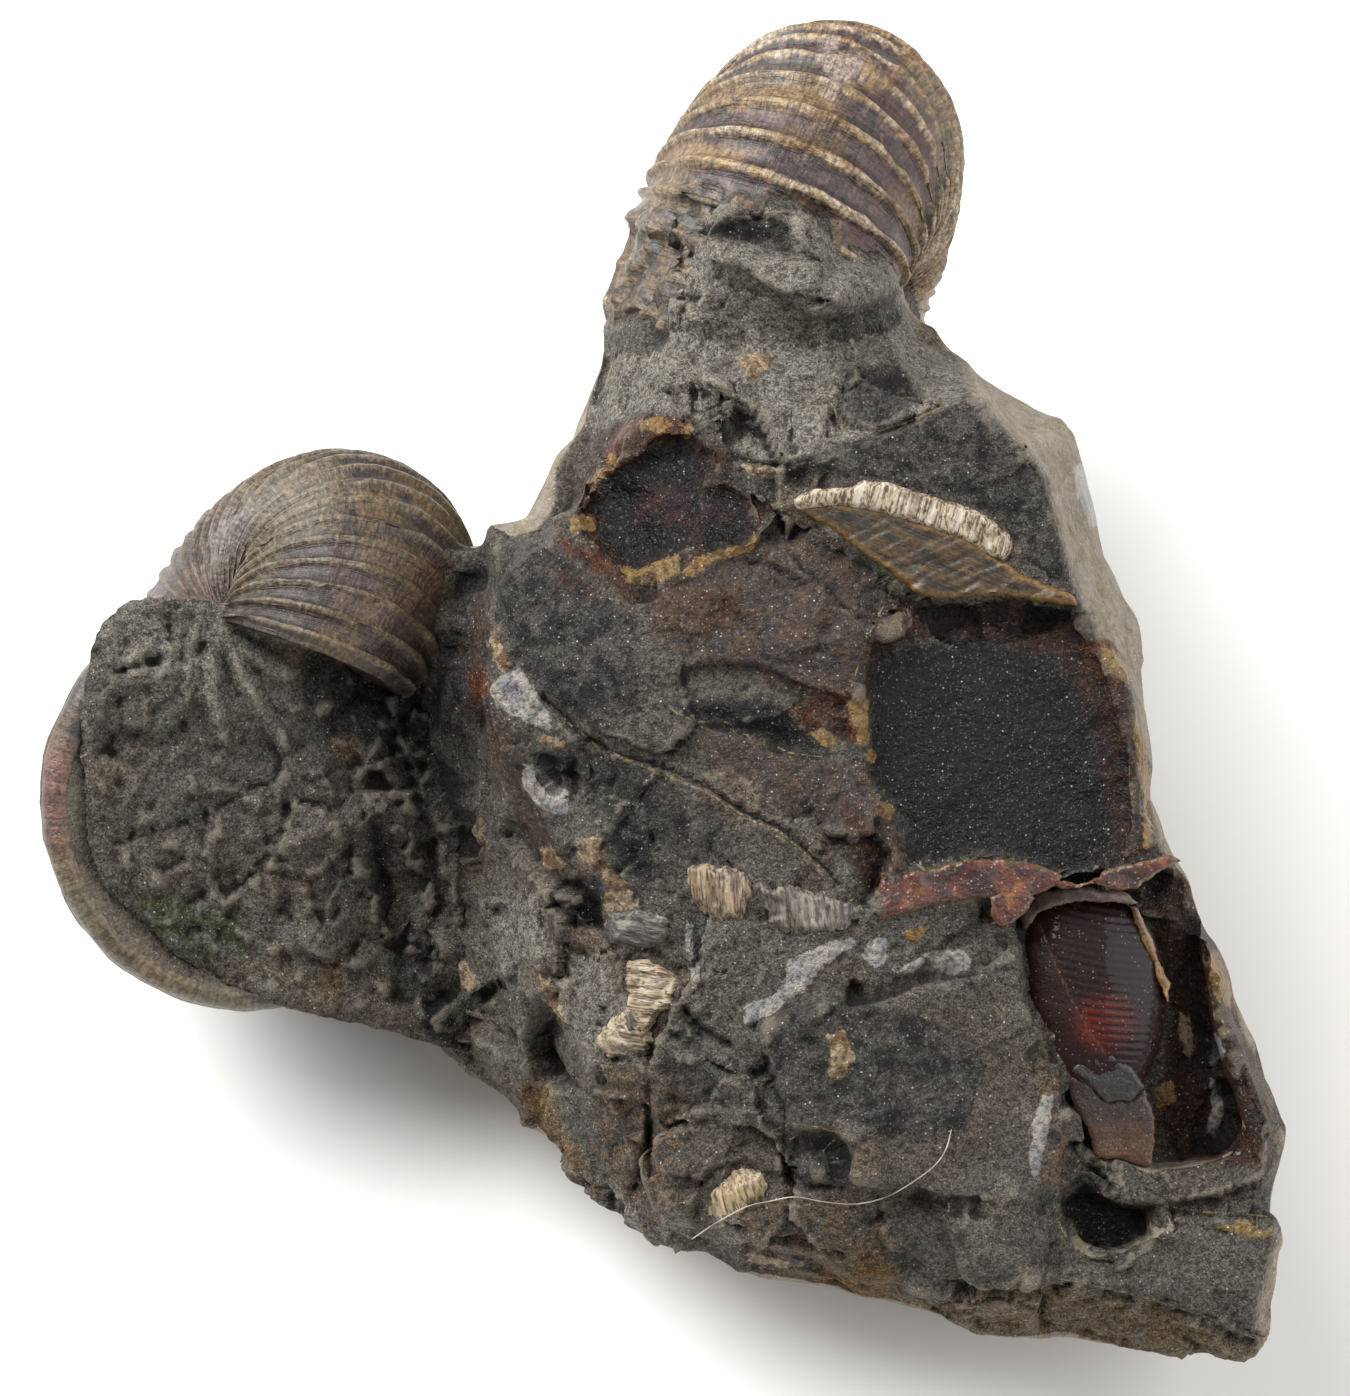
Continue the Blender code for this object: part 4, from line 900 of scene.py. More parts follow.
def rockSkin():
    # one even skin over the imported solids, fine where the eye looks
    points, faces, owners = cadNet()
    cadMesh = bpy.data.meshes.new("cadSkin")
    cadMesh.from_pydata(points, [], faces)
    holder = bpy.data.objects.new("cadSkin", cadMesh)
    bpy.context.scene.collection.objects.link(holder)
    remesh = holder.modifiers.new("remesh", "REMESH")
    remesh.mode = "VOXEL"
    remesh.voxel_size = rock["coarse"] * mm
    bpy.context.view_layer.update()
    mesh = bpy.data.meshes.new_from_object(holder.evaluated_get(bpy.context.evaluated_depsgraph_get()))
    bpy.data.objects.remove(holder)
    bpy.data.meshes.remove(cadMesh)

    net = BVHTree.FromPolygons(points, faces)
    rockOwner = cadOrder.index("rock_matrix")

    def onRock(face):
        where, _, index, _ = net.find_nearest(face.calc_center_median())
        return owners[index] == rockOwner and where.z > 0.5 * mm

    def onSide(face):
        return face.normal.dot(Vector(towardsEye)) > -0.35 and onRock(face)

    def onFace(face):
        return face.normal.dot(Vector(towardsEye)) > 0.35 and onRock(face)

    refine(mesh, onSide)
    refine(mesh, onFace)
    places, normals = meshArrays(mesh)
    owned = np.zeros(len(places), int)
    for i, p in enumerate(places.tolist()):
        where, normal, index, _ = net.find_nearest(p)
        owned[i] = owners[index]
        sink = 0 if owned[i] == rockOwner else rock["sinkUnderShell"] * mm
        places[i] = where - normal * sink
    setPlaces(mesh, places)
    towards = Vector(towardsEye)
    clear = [net.ray_cast(Vector(p) + Vector(n) * 0.8 * mm + towards * 0.5 * mm, towards)[0] is None
             for p, n in zip(places.tolist(), normals.tolist())]
    return mesh, owned == rockOwner, np.array(clear)


def neighbourMeans(mesh):
    # gives the mean of a value over the points around each point
    ends = np.empty(len(mesh.edges) * 2, np.int32)
    mesh.edges.foreach_get("vertices", ends)
    ends = ends.reshape(-1, 2)

    def around(values):
        total, count = np.zeros_like(values), np.zeros(len(values))
        for a, b in ((0, 1), (1, 0)):
            np.add.at(total, ends[:, a], values[ends[:, b]])
            np.add.at(count, ends[:, a], 1)
        return (total.T / count).T
    return around


def bentBy(mesh, normals):
    # how far each point stands out from those around it, in mm
    places, _ = meshArrays(mesh)
    around = neighbourMeans(mesh)
    near = around(places)
    far = around(around(near))
    return ((0.5 * (places + near) - far) * normals).sum(1) / mm


def paintFacets(mesh, fade=1.0):
    # which facet each point is on, and how sharply the surface bends there
    places, normals = meshArrays(mesh)
    inMm = places / mm
    warp = rockWarp(inMm)
    tint = sum(share * chipTint(inMm + warp, size, (size, 3.3, 8.8))
               for share, (size, _) in zip((0.45, 0.35, 0.2), rock["chipSizes"]))
    paint(mesh, "facet", tint)
    paint(mesh, "bend", bentBy(mesh, normals) * fade)


def rockWarp(inMm):
    return np.column_stack([grain(inMm, 3.0, (k, 5.1, 9.2)) for k in (1.5, 11.7, 23.9)]) * 0.3


def rockRelief(inMm):
    # how far the broken surface stands out, in mm, for points in mm
    warp = rockWarp(inMm)
    move = np.zeros(len(inMm))
    for size, high in rock["chipSizes"]:
        move += high * chips(inMm + warp, size, (size, 3.3, 8.8))
    size, much, step = rock["layers"]
    treads = terraces(inMm + warp, size, (2.2, 7.1, 3.8), step)
    return move + much * (treads - 0.5 * grain(inMm, size * 2, (1, 1, 1)))


def temperAt(x, y, shown):
    # the share of the relief that each point has
    temper = np.ones(len(x))
    for outline, share in faceTempers:
        inside = smooth(-14, 14, depthInside(x[shown], y[shown], outline))
        temper[shown] *= 1 + (share - 1) * inside
    return temper


def formsAt(x, y, shown):
    # how far the forms, the crusts and the cracks lift each point towards the eye, in mm
    lift = np.zeros(len(x))
    for outline, rise, run in faceForms:
        lift[shown] += rise * smooth(-run / 2, run / 2, depthInside(x[shown], y[shown], outline))
    for name, outlines in faceZones.items():
        high = rockFinishes[name][5]
        for outline in outlines if high else ():
            lift[shown] += high * smooth(-2, 4, depthInside(x[shown], y[shown], outline))
    for line, halfWidth, deep in crackLines:
        away = lineDistance(x[shown], y[shown], line)
        lift[shown] -= deep * smooth(halfWidth + 3, halfWidth, away)
    return lift


def evenOut(places, around, share, steps):
    # each step moves the points towards the mean of their neighbours
    for _ in range(steps):
        places += (around(places) - places) * share[:, None]


def makeRock():
    mesh, onRock, clear = rockSkin()
    places, normals = meshArrays(mesh)
    facing = normals @ towardsEye
    x, y, _ = pictureOf(places)
    inMm = places / mm
    shown = onRock & clear & (facing > 0.0)
    right, high = rock["sideWall"]
    sideWall = (inMm[:, 0] > right) & (inMm[:, 2] < high) & (normals[:, 0] > 0.4) & (facing < 0.3)
    wall = 1 - smooth(0.05, 0.35, facing)
    held = smooth(0.0, 1.2, inMm[:, 2]) * onRock        # the flat base stays flat
    temper = temperAt(x, y, shown)
    move = rockRelief(inMm) * temper * (1 + (rock["wallExtra"] - 1) * wall)
    move += rock["grainHigh"] * grain(inMm, rock["grainSize"], (4.4, 4.4, 0.3), 3) * (0.4 + 0.6 * temper)
    places += normals * (move * held * mm)[:, None]

    x, y, _ = pictureOf(places)
    lift = formsAt(x, y, shown) * smooth(0.08, 0.4, facing)
    under = ~onRock & (facing > 0)
    breakDepth = depthInside(x[under], y[under], breakRock["outline"])
    lift[under] -= rock["sinkUnderBreak"] * smooth(2, 20, breakDepth)
    places += towardsEye * (lift * mm)[:, None]

    around = neighbourMeans(mesh)
    steep = np.maximum(1 - smooth(0.15, 0.6, facing), 1.0 - onRock)     # with the seams at the shells
    ease = rock["evenedShare"] * steep * smooth(0.2, 1.0, inMm[:, 2])
    evenOut(places, around, ease, rock["evenedSteps"])
    hollow = np.zeros(len(places))
    for outline in easedHollows:
        inside = rock["hollowShare"] * smooth(-4, 6, depthInside(x[clear], y[clear], outline))
        hollow[clear] = np.maximum(hollow[clear], inside)
    evenOut(places, around, hollow, rock["hollowSteps"])
    setPlaces(mesh, places)

    # the sides that the eye doesn't see are weathered all over
    rind = (0.12 - facing) * 6 + 0.8 * grain(inMm, 3.0, (2, 5, 5), 4)
    paintFrom(mesh, x, y, shown & ~sideWall, faceZones, np.where(onRock, rind, -1))
    paintFacets(mesh)
    return mesh


# Fibrous patches, veins and cracks that lie on the rock

fibrePatches = {
    # fibres as in satin spar: outline, the way they run in the picture, and colours
    "fibre_patch_a": {"outline": [(626, 957), (645, 958), (671, 966), (681, 980), (676, 1002), (652, 1022),
                                  (649, 1051), (612, 1057), (595, 1046), (604, 1029), (620, 1008), (628, 992),
                                  (622, 972)],
                      "along": (1, 0.12), "colours": ("#ad9c80", "#74604a", "#d0c4ac")},
    "fibre_patch_b": {"outline": [(684, 863), (715, 866), (747, 868), (752, 890), (742, 919), (720, 924),
                                  (700, 910), (688, 900)],
                      "along": (0.03, 1), "colours": ("#857056", "#4a362a", "#a39072")},
    "fibre_patch_c": {"outline": [(606, 912), (640, 908), (668, 918), (668, 944), (640, 950), (608, 944)],
                      "along": (1, 0.16), "colours": ("#5c5750", "#332f2b", "#8a8274")},
    "fibre_patch_d": {"outline": [(716, 1182), (742, 1168), (765, 1172), (766, 1194), (744, 1210),
                                  (722, 1222), (706, 1212), (708, 1198)],
                      "along": (0.3, 1), "colours": ("#a38f6c", "#6b563a", "#bcab88")},
    "fibre_patch_e": {"outline": [(757, 885), (800, 888), (850, 900), (868, 912), (840, 930), (812, 936),
                                  (778, 930), (757, 905)],
                      "along": (0.1, 1), "colours": ("#6f665a", "#4a443c", "#8c8475")},
}
# In mm: the distance between points, how far the edge wanders in pixels, how far the flake rises over
# how wide a bevel, its dome, its roughness, and how far it goes down into the rock
fibreFacts = {"spacing": 0.12, "wander": 5.0, "rise": 0.26, "bevel": 0.3, "dome": 0.1, "rough": 0.08,
              "roughSize": 0.9, "root": 0.8, "follow": 0.45}
lineFacts = {"spacing": 0.13, "wander": 0.5, "rise": 0.05, "bevel": 0.05, "dome": 0, "rough": 0.02,
             "roughSize": 0.6, "root": 0.3}


def honeyCalcite():
    # Honey calcite, grown as a thin knobbly crust: amber, darker where it is thick, glassy
    made, tree, shader, where = startMaterial("honeyCalcite", {
        "IOR": 1.6, "Metallic": 0.0, "Coat Weight": 0.3, "Coat Roughness": 0.15})
    cloud = noiseIn(tree, where, 1.4, 4.0, 0.6, 0.4)
    fine = noiseIn(tree, where, 6.0, 3.0, 0.6)
    base = blend(tree, ramp(tree, cloud, 0.4, 0.6), colour("#5e3c1a"), colour("#8a6432"))
    base = withRim(tree, base, 0.14, 0.03, 0.4, "#a88450")
    base = shadeWith(tree, base, fine, 0.3, 0.6, "#7a6a58", 0.6)
    roughness = ramp(tree, fine, 0.3, 0.7, 0.25, 0.45)
    finishShader(tree, shader, base, roughness, fine, 0.06)
    return made


def fibrousCalcite(name, along, colours):
    # Fibrous calcite: parallel fibres about 0.1 mm across, silky along them
    made, tree, shader, where = startMaterial(name, {
        "IOR": 1.6, "Metallic": 0.0, "Coat Weight": 0.15, "Coat Roughness": 0.3})
    across, up = along[0], -along[1]
    run = laid((across, up, 0)) - laid((0, 0, 0))
    side = laid((-up, across, 0)) - laid((0, 0, 0))
    threads = noiseIn(tree, stretched(tree, where, run, side, 0.7, 7.0), 1.0, 3.0, 0.6)
    strands = noiseIn(tree, stretched(tree, where, run, side, 0.25, 2.2), 1.0, 2.0, 0.5)
    cloud = noiseIn(tree, where, 0.6, 3.0, 0.6)
    first, second, third = (colour(c) for c in colours)
    base = blend(tree, ramp(tree, threads, 0.42, 0.58), second, first)
    base = blend(tree, ramp(tree, strands, 0.52, 0.62, 0, 0.8), base, third)
    base = blend(tree, ramp(tree, cloud, 0.5, 0.64, 0, 0.55), base, second)
    base = shadeWith(tree, base, threads, 0.3, 0.5, "#6e6459", 0.8)
    roughness = ramp(tree, strands, 0.3, 0.7, 0.35, 0.55)
    finishShader(tree, shader, base, roughness, threads, 0.12)
    return made


def stainedLine(name, code):
    # a mineral vein, or the painted shade inside an open crack
    made, tree, shader, where = startMaterial(name, {"IOR": 1.5, "Metallic": 0.0, "Roughness": 0.75})
    fine = noiseIn(tree, where, 4.0, 3.0, 0.6)
    base = shadeWith(tree, colour(code), fine, 0.35, 0.6, "#6a6055", 0.8)
    tree.links.new(base, shader.inputs["Base Color"])
    return made


def makeFlakes(surface):
    for name, facts in fibrePatches.items():
        under = evened(surface, fibreFacts["follow"])
        along = facts["along"]

        def ridged(x, y, away):
            # bundles of fibres that broke off at different heights
            run, over = along[0] * x + along[1] * y, -along[1] * x + along[0] * y
            where = np.column_stack((run / 40, over / 5, np.zeros(len(x))))
            return 0.14 * grain(where, 1, (3, 8, 1), 2) * smooth(0, 0.2, away)
        mesh = flakeMesh(name, facts["outline"], fibreFacts, under, seed=2.1, relief=ridged)
        addPiece(name, mesh, fibrousCalcite(name, along, facts["colours"]), sharp=60)

    veins = [flakeMesh("veins", ribbonOutline(line, width), lineFacts, surface, seed=i * 2.3)
             for i, (line, width) in enumerate(veinLines)]
    addPiece("pale_veins", joinMeshes("pale_veins", veins), stainedLine("paleCalciteVein", "#857459"))
    # the cracks: dark ribbons that paint the shade inside them
    low = dict(lineFacts, rise=0.02)
    cracks = [flakeMesh("cracks", ribbonOutline(line, width), low, surface, seed=i * 1.9)
              for i, (line, width, _) in enumerate(crackLines)]
    addPiece("dark_cracks", joinMeshes("dark_cracks", cracks), stainedLine("paintedCrackShade", "#1a1715"))


# The thick piece of shell wall that is broken across: its pale fibrous edge and the ochre plate below

shellWall = {
    "bandTop": 0.55, "plateTop": 0.3, "plateSlope": -0.006,     # mm, mm, and mm for each pixel down
    "band": [(793, 499), (813, 489), (853, 487), (861, 480), (888, 483), (916, 492), (955, 502), (987, 516),
             (1011, 537), (1013, 550), (1003, 560), (985, 553), (967, 540), (940, 531), (908, 520),
             (868, 510), (837, 505), (797, 509)],
    "plate": [(793, 506), (837, 502), (868, 506), (908, 516), (940, 527), (967, 536), (985, 549), (1003, 560),
              (1021, 574), (1074, 596), (1078, 606), (1015, 597), (975, 596), (936, 599), (914, 592),
              (896, 576), (866, 556), (835, 531), (812, 518)],
}


def ochrePlate():
    # Prismatic shell layer seen edge on and through: ochre and brown, layered along its length, resinous
    made, tree, shader, where = startMaterial("ochrePlate", {
        "IOR": 1.6, "Metallic": 0.0, "Coat Weight": 0.2, "Coat Roughness": 0.25})
    run = laid((1, -0.42, 0)) - laid((0, 0, 0))
    side = laid((0.42, 1, 0)) - laid((0, 0, 0))
    layers = noiseIn(tree, stretched(tree, where, run, side, 0.25, 2.4), 1.0, 4.0, 0.65)
    cloud = noiseIn(tree, where, 0.5, 4.0, 0.6)
    fine = noiseIn(tree, where, 5.0, 3.0, 0.6)
    base = blend(tree, ramp(tree, layers, 0.42, 0.6), colour("#2e2317"), colour("#554020"))
    base = blend(tree, ramp(tree, cloud, 0.52, 0.64, 0, 0.7), base, colour("#2c2723"))
    base = withRim(tree, base, 0.5, 0.1, 0.55, "#94702f")
    base = shadeWith(tree, base, fine, 0.3, 0.6, "#80766a", 0.8)
    roughness = ramp(tree, layers, 0.3, 0.7, 0.38, 0.6)
    finishShader(tree, shader, base, roughness, sums(tree, "MULTIPLY_ADD", fine, 0.4, layers), 0.12)
    return made


def makeShellWall():
    facts = {"spacing": 0.14, "wander": 1.2, "rise": 0.25, "bevel": 0.2, "dome": 0.1, "rough": 0.12,
             "roughSize": 1.4, "root": 1.9}

    def plateDepth(x, y):
        top = np.interp(x, [793, 868, 940, 1003, 1078], [500, 506, 527, 560, 598])
        return shellWall["plateTop"] - 0.25 + shellWall["plateSlope"] * np.maximum(0, y - top)

    def layered(x, y, away):
        where = np.column_stack(((x - 0.42 * y) / 70, (0.42 * x + y) / 6, np.zeros(len(x))))
        return 0.12 * grain(where, 1, (1, 2, 5), 2)

    def threaded(x, y, away):
        where = np.column_stack(((x - 0.25 * y) / 3.5, y / 22, np.zeros(len(x))))
        return 0.12 * grain(where, 1, (6, 2, 5), 2) + 0.15 * smooth(510, 480, y - (x - 793) * 0.2)
    plate = flakeMesh("ochre_plate", shellWall["plate"], facts, plateDepth, 4.0, layered)
    addPiece("ochre_plate", plate, ochrePlate(), ["shell_plate"], sharp=60)
    bandDepth = levelAt(shellWall["bandTop"] - 0.3)
    band = flakeMesh("cream_band", shellWall["band"], dict(facts, spacing=0.12), bandDepth, 7.0, threaded)
    finish = fibrousCalcite("creamFibres", (-0.28, 1), ("#b4a790", "#6c5636", "#cdc4b2"))
    addPiece("cream_band", band, finish, sharp=60)


# The red-brown calcite along the lower edge of the big black face

ledge = {
    "top": 0.3,         # mm
    "main": [(880, 880), (912, 872), (944, 866), (964, 860), (1002, 859), (1036, 864), (1064, 876),
             (1054, 888), (1030, 896), (1000, 899), (972, 897), (939, 903), (905, 914), (878, 920)],
    "arm": [(1050, 880), (1088, 884), (1105, 870), (1154, 859), (1172, 853), (1182, 861), (1156, 872),
            (1138, 889), (1112, 888), (1092, 884), (1060, 890)],
    "flap": [(991, 896), (1008, 893), (1025, 890), (1036, 897), (1026, 912), (1012, 924), (1000, 926),
             (991, 918)],
}


def redBrownCalcite():
    # Calcite stained by iron, in a thin cleaved sheet: red-brown, paler and yellower at its edges, glassy
    made, tree, shader, where = startMaterial("redBrownCalcite", {
        "IOR": 1.6, "Metallic": 0.0, "Coat Weight": 0.35, "Coat Roughness": 0.2})
    cloud = noiseIn(tree, where, 0.7, 4.0, 0.6, 0.5)
    fine = noiseIn(tree, where, 5.0, 3.0, 0.65)
    base = blend(tree, ramp(tree, cloud, 0.4, 0.6), colour("#2e130d"), colour("#5c2a19"))
    base = blend(tree, ramp(tree, cloud, 0.58, 0.68, 0, 0.8), base, colour("#8a5a2c"))
    edge = sums(tree, "MULTIPLY_ADD", cloud, 0.5, painted(tree, "rim"))
    base = blend(tree, ramp(tree, edge, 0.42, 0.26, 0, 0.7), base, colour("#7c6038"))
    base = withSpecks(tree, base, where, 6.0, 0.35, 0.3, 0.6, "#b9a08e")
    base = shadeWith(tree, base, fine, 0.3, 0.6, "#786058", 0.7)
    roughness = ramp(tree, fine, 0.3, 0.7, 0.28, 0.5)
    finishShader(tree, shader, base, roughness, fine, 0.08)
    return made


def makeLedge():
    facts = {"spacing": 0.14, "wander": 2.2, "rise": 0.2, "bevel": 0.12, "dome": 0.0, "rough": 0.16,
             "roughSize": 2.0, "root": 1.9}
    parts = [flakeMesh(key, ledge[key], facts, levelAt(ledge["top"] - 0.3 + high), 3.0 + high)
             for key, high in (("main", 0.0), ("arm", 0.1), ("flap", 0.3))]
    addPiece("red_brown_ledge", joinMeshes("red_brown_ledge", parts), redBrownCalcite(),
             ["calcite_ledge"], sharp=55)


# The small shell in its cavity

smallShell = {
    "middle": (1078, 996), "halfLong": 104, "lean": 26, "halfWide": 84,    # picture pixels
    "halfDeep": 2.1, "depth": -3.0,     # mm
    "taper": 0.22, "rings": 150, "sides": 120,
    "ribSpacing": 8, "ribHeight": 0.05,    # pixels along it, mm
    "crack": [(1040, 925), (1057, 968), (1071, 999), (1092, 1034), (1105, 1054)],
    "collar": [(1019, 914), (1040, 893), (1071, 886), (1122, 890), (1138, 904), (1118, 903), (1088, 900),
               (1060, 904), (1038, 914), (1024, 930)],
    "goldRim": [(1128, 905), (1138, 908), (1146, 925), (1158, 958), (1170, 985), (1168, 1002), (1160, 985),
                (1150, 955), (1139, 930)],
    "darkFlap": [(1071, 1072), (1090, 1055), (1112, 1055), (1134, 1070), (1144, 1088), (1126, 1103),
                 (1105, 1100), (1085, 1080)],
    "brownFlap": [(1068, 1076), (1085, 1080), (1105, 1100), (1126, 1102), (1144, 1090), (1155, 1120),
                  (1150, 1168), (1123, 1161), (1094, 1156), (1088, 1128), (1074, 1108)],
}


def redBrownShell():
    # Thin shell of dark red-brown aragonite, translucent: glossy, with a painted red glow and painted shade
    # in its grooves
    made, tree, shader, where = startMaterial("redBrownShell", {
        "IOR": 1.6, "Metallic": 0.0, "Specular IOR Level": 0.15, "Coat Weight": 0.22, "Coat Roughness": 0.05})
    cloud = noiseIn(tree, where, 0.45, 4.0, 0.6, 0.4)
    fine = noiseIn(tree, where, 6.0, 3.0, 0.65)
    base = blend(tree, ramp(tree, cloud, 0.42, 0.6), colour("#220d0b"), colour("#25120f"))
    base = blend(tree, ramp(tree, painted(tree, "paintedRedGlow"), 0.0, 1.0, 0, 0.85), base, colour("#5c1b0f"))
    # painted shade in the rib grooves
    base = blend(tree, ramp(tree, painted(tree, "ribGrooveShade"), 0.2, 0.9, 0, 0.75), base, colour("#0a0404"))
    base = blend(tree, ramp(tree, painted(tree, "crackLine"), 0.12, 0.0, 0, 0.8), base, colour("#5c443a"))
    base = withSpecks(tree, base, where, 6.0, 0.3, 0.2, 0.6, "#a8887a")
    base = shadeWith(tree, base, fine, 0.3, 0.6, "#7c7270", 0.6)
    roughness = ramp(tree, fine, 0.3, 0.7, 0.36, 0.55)
    finishShader(tree, shader, base, roughness, fine, 0.07)
    return made


def purpleCollar():
    # The lip of shell round the small shell: purple-brown, dull with a slight lustre
    made, tree, shader, where = startMaterial("purpleCollar", {
        "IOR": 1.6, "Metallic": 0.0, "Coat Weight": 0.2, "Coat Roughness": 0.3})
    cloud = noiseIn(tree, where, 0.8, 4.0, 0.6, 0.4)
    fine = noiseIn(tree, where, 6.0, 3.0, 0.65)
    base = blend(tree, ramp(tree, cloud, 0.42, 0.6), colour("#463430"), colour("#665048"))
    base = withRim(tree, base, 0.16, 0.04, 0.4, "#7c5f42")
    base = shadeWith(tree, base, fine, 0.3, 0.6, "#807674", 0.7)
    roughness = ramp(tree, fine, 0.3, 0.7, 0.35, 0.55)
    finishShader(tree, shader, base, roughness, fine, 0.06)
    return made


def shellFlap(name, first, second, edge):
    # A curled scrap of shell under the small shell
    made, tree, shader, where = startMaterial(name, {
        "IOR": 1.6, "Metallic": 0.0, "Coat Weight": 0.25, "Coat Roughness": 0.25})
    fall = addNode(tree, "ShaderNodeSeparateXYZ", {}, {0: where}).outputs[1]
    cloud = noiseIn(tree, where, 0.9, 4.0, 0.6, 0.4)
    fine = noiseIn(tree, where, 6.0, 3.0, 0.65)
    lower = sums(tree, "ADD", fall, sums(tree, "MULTIPLY_ADD", cloud, 3.0, -1.5))
    base = blend(tree, ramp(tree, lower, -17.8, -19.8), colour(first), colour(second))
    base = withRim(tree, base, 0.12, 0.03, 0.3, edge)
    base = withSpecks(tree, base, where, 6.0, 0.3, 0.2, 0.6, "#a08a74")
    base = shadeWith(tree, base, fine, 0.3, 0.6, "#776a60", 0.8)
    roughness = ramp(tree, fine, 0.3, 0.7, 0.35, 0.55)
    finishShader(tree, shader, base, roughness, fine, 0.08)
    return made


def makeSmallShell():
    facts = smallShell
    t = (np.arange(facts["rings"]) + 0.5) / facts["rings"]
    turns = fullTurn(facts["sides"])
    full = np.sin(math.pi * t) ** 0.8
    halfWide = facts["halfWide"] * full * (1 - facts["taper"] * t)
    xs = facts["middle"][0] + facts["lean"] * t[:, None] + halfWide[:, None] * np.cos(turns)
    ys = facts["middle"][1] - facts["halfLong"] * np.cos(math.pi * t)[:, None] + 0 * turns
    depth = facts["depth"] + facts["halfDeep"] * full[:, None] * np.sin(turns)
    across = xs - facts["middle"][0]
    ribPlace = (ys - 0.22 * across + 0.0016 * across ** 2) / facts["ribSpacing"]
    crackX = np.interp(ys, [p[1] for p in facts["crack"]], [p[0] for p in facts["crack"]])
    ribbed = smooth(0, 10, xs - crackX) * smooth(1090, 1060, ys) * (turns < math.pi)
    wave = 0.5 + 0.5 * np.cos(2 * math.pi * ribPlace)
    crackAway = lineDistance(xs.ravel(), ys.ravel(), facts["crack"])
    lift = facts["ribHeight"] * wave * ribbed - 0.08 * smooth(4, 0, crackAway).reshape(xs.shape)
    flat = np.column_stack((xs.ravel(), ys.ravel(), depth.ravel() * 20)) * pixelMm
    lift = lift + 0.03 * grain(flat, 1.2, (3, 3, 1), 3).reshape(xs.shape)
    points = place(xs, ys, depth + lift * np.sin(turns)).reshape(-1, 3)
    tips = [place(xs[0].mean(), ys[0].mean() - 0.5, depth[0].mean()),
            place(xs[-1].mean(), ys[-1].mean() + 0.5, depth[-1].mean())]
    mesh = solidFrom(np.vstack((points, tips)), tubeFaces(facts["rings"], facts["sides"]), "small_shell_body")
    # a painted red glow, as of light coming through the shell
    paintedRedGlow = smooth(44, 8, np.hypot((xs - 1106) * 0.9, ys - 1022))
    paint(mesh, "paintedRedGlow", np.append(paintedRedGlow.ravel(), (0, 0)))
    # the rib grooves, which get painted shade
    paint(mesh, "ribGrooveShade", np.append(((1 - wave) * ribbed).ravel(), (0, 0)))
    paint(mesh, "crackLine", np.append(crackAway * pixelMm, (9, 9)))
    addPiece("small_shell_body", mesh, redBrownShell(), ["small_shell"])

    thin = {"spacing": 0.13, "wander": 2.6, "rise": 0.12, "bevel": 0.12, "dome": 0.0, "rough": 0.12,
            "roughSize": 1.3, "root": 1.4}
    middle = facts["middle"][0] + facts["lean"] * 0.3
    scraps = {
        "shell_collar": ("collar", lambda x, y: -0.75 - 1.3 * ((x - middle) / 70) ** 2,
                         purpleCollar(), "red_brown_shell"),
        "gold_rim": ("goldRim", levelAt(-2.0), honeyCalcite(), "red_brown_calcite"),
        "brown_flap": ("brownFlap", lambda x, y: -1.9 - 0.012 * (y - 1080),
                       shellFlap("brownFlap", "#2a1a15", "#5c3c20", "#9a7646"), "red_brown_shell"),
        "dark_flap": ("darkFlap", lambda x, y: -1.45 - 0.010 * (y - 1060),
                      shellFlap("darkFlap", "#25241f", "#2e2620", "#5c503e"), "red_brown_shell"),
    }
    for name, (key, depthOver, finish, slot) in scraps.items():
        addPiece(name, flakeMesh(name, facts[key], thin, depthOver, 5.0), finish, sharp=60)


# The ribbed limbs

shellSides = 144
turnHollow = 0.45           # mm, the least distance of a limb's skin from the axis it turns about

upperLimb = {
    "middle": (771, 258, -18), "front": (-0.068, -0.02, 0.998), "up": (0.357, 0.933, 0.043),
    "turnRadius": 5.7, "halfHeight": 7.75, "halfWidth": 7.0, "growth": -0.0225,
    "slide": lambda angle: 0.67 * angle,
    "ribAngle": math.radians(9.3), "ribHeight": 0.5, "ribStart": 0.5,
    "straight": (7.5, 3.0), "stepsPerRib": 12,
}
leftLimb = {
    "middle": (285, 654, -14.6), "front": (0.295, -0.231, 0.927), "up": (0.426, 0.9, 0.089),
    "turnRadius": 3.46, "halfHeight": 5.0, "halfWidth": 4.95, "growth": 0.173,
    "slide": lambda angle: 1.38 * min(angle, 1.3) + 0.42 * max(0, angle - 1.3),
    "ribAngle": math.radians(8.9), "ribHeight": 0.42, "ribStart": 0.5,
    "start": math.radians(12), "end": math.radians(262), "stepsPerRib": 9,
    "easeFrom": math.radians(196), "breakRun": 14, "breakMiddle": (257, 800, -10.5),
    "breakRadius": 11.1, "breakFacing": (0.24, -0.04, 0.97), "breakDown": (-0.25, -0.97, 0),
    "rollIn": 1.2,          # mm that the rim stands behind the break
}
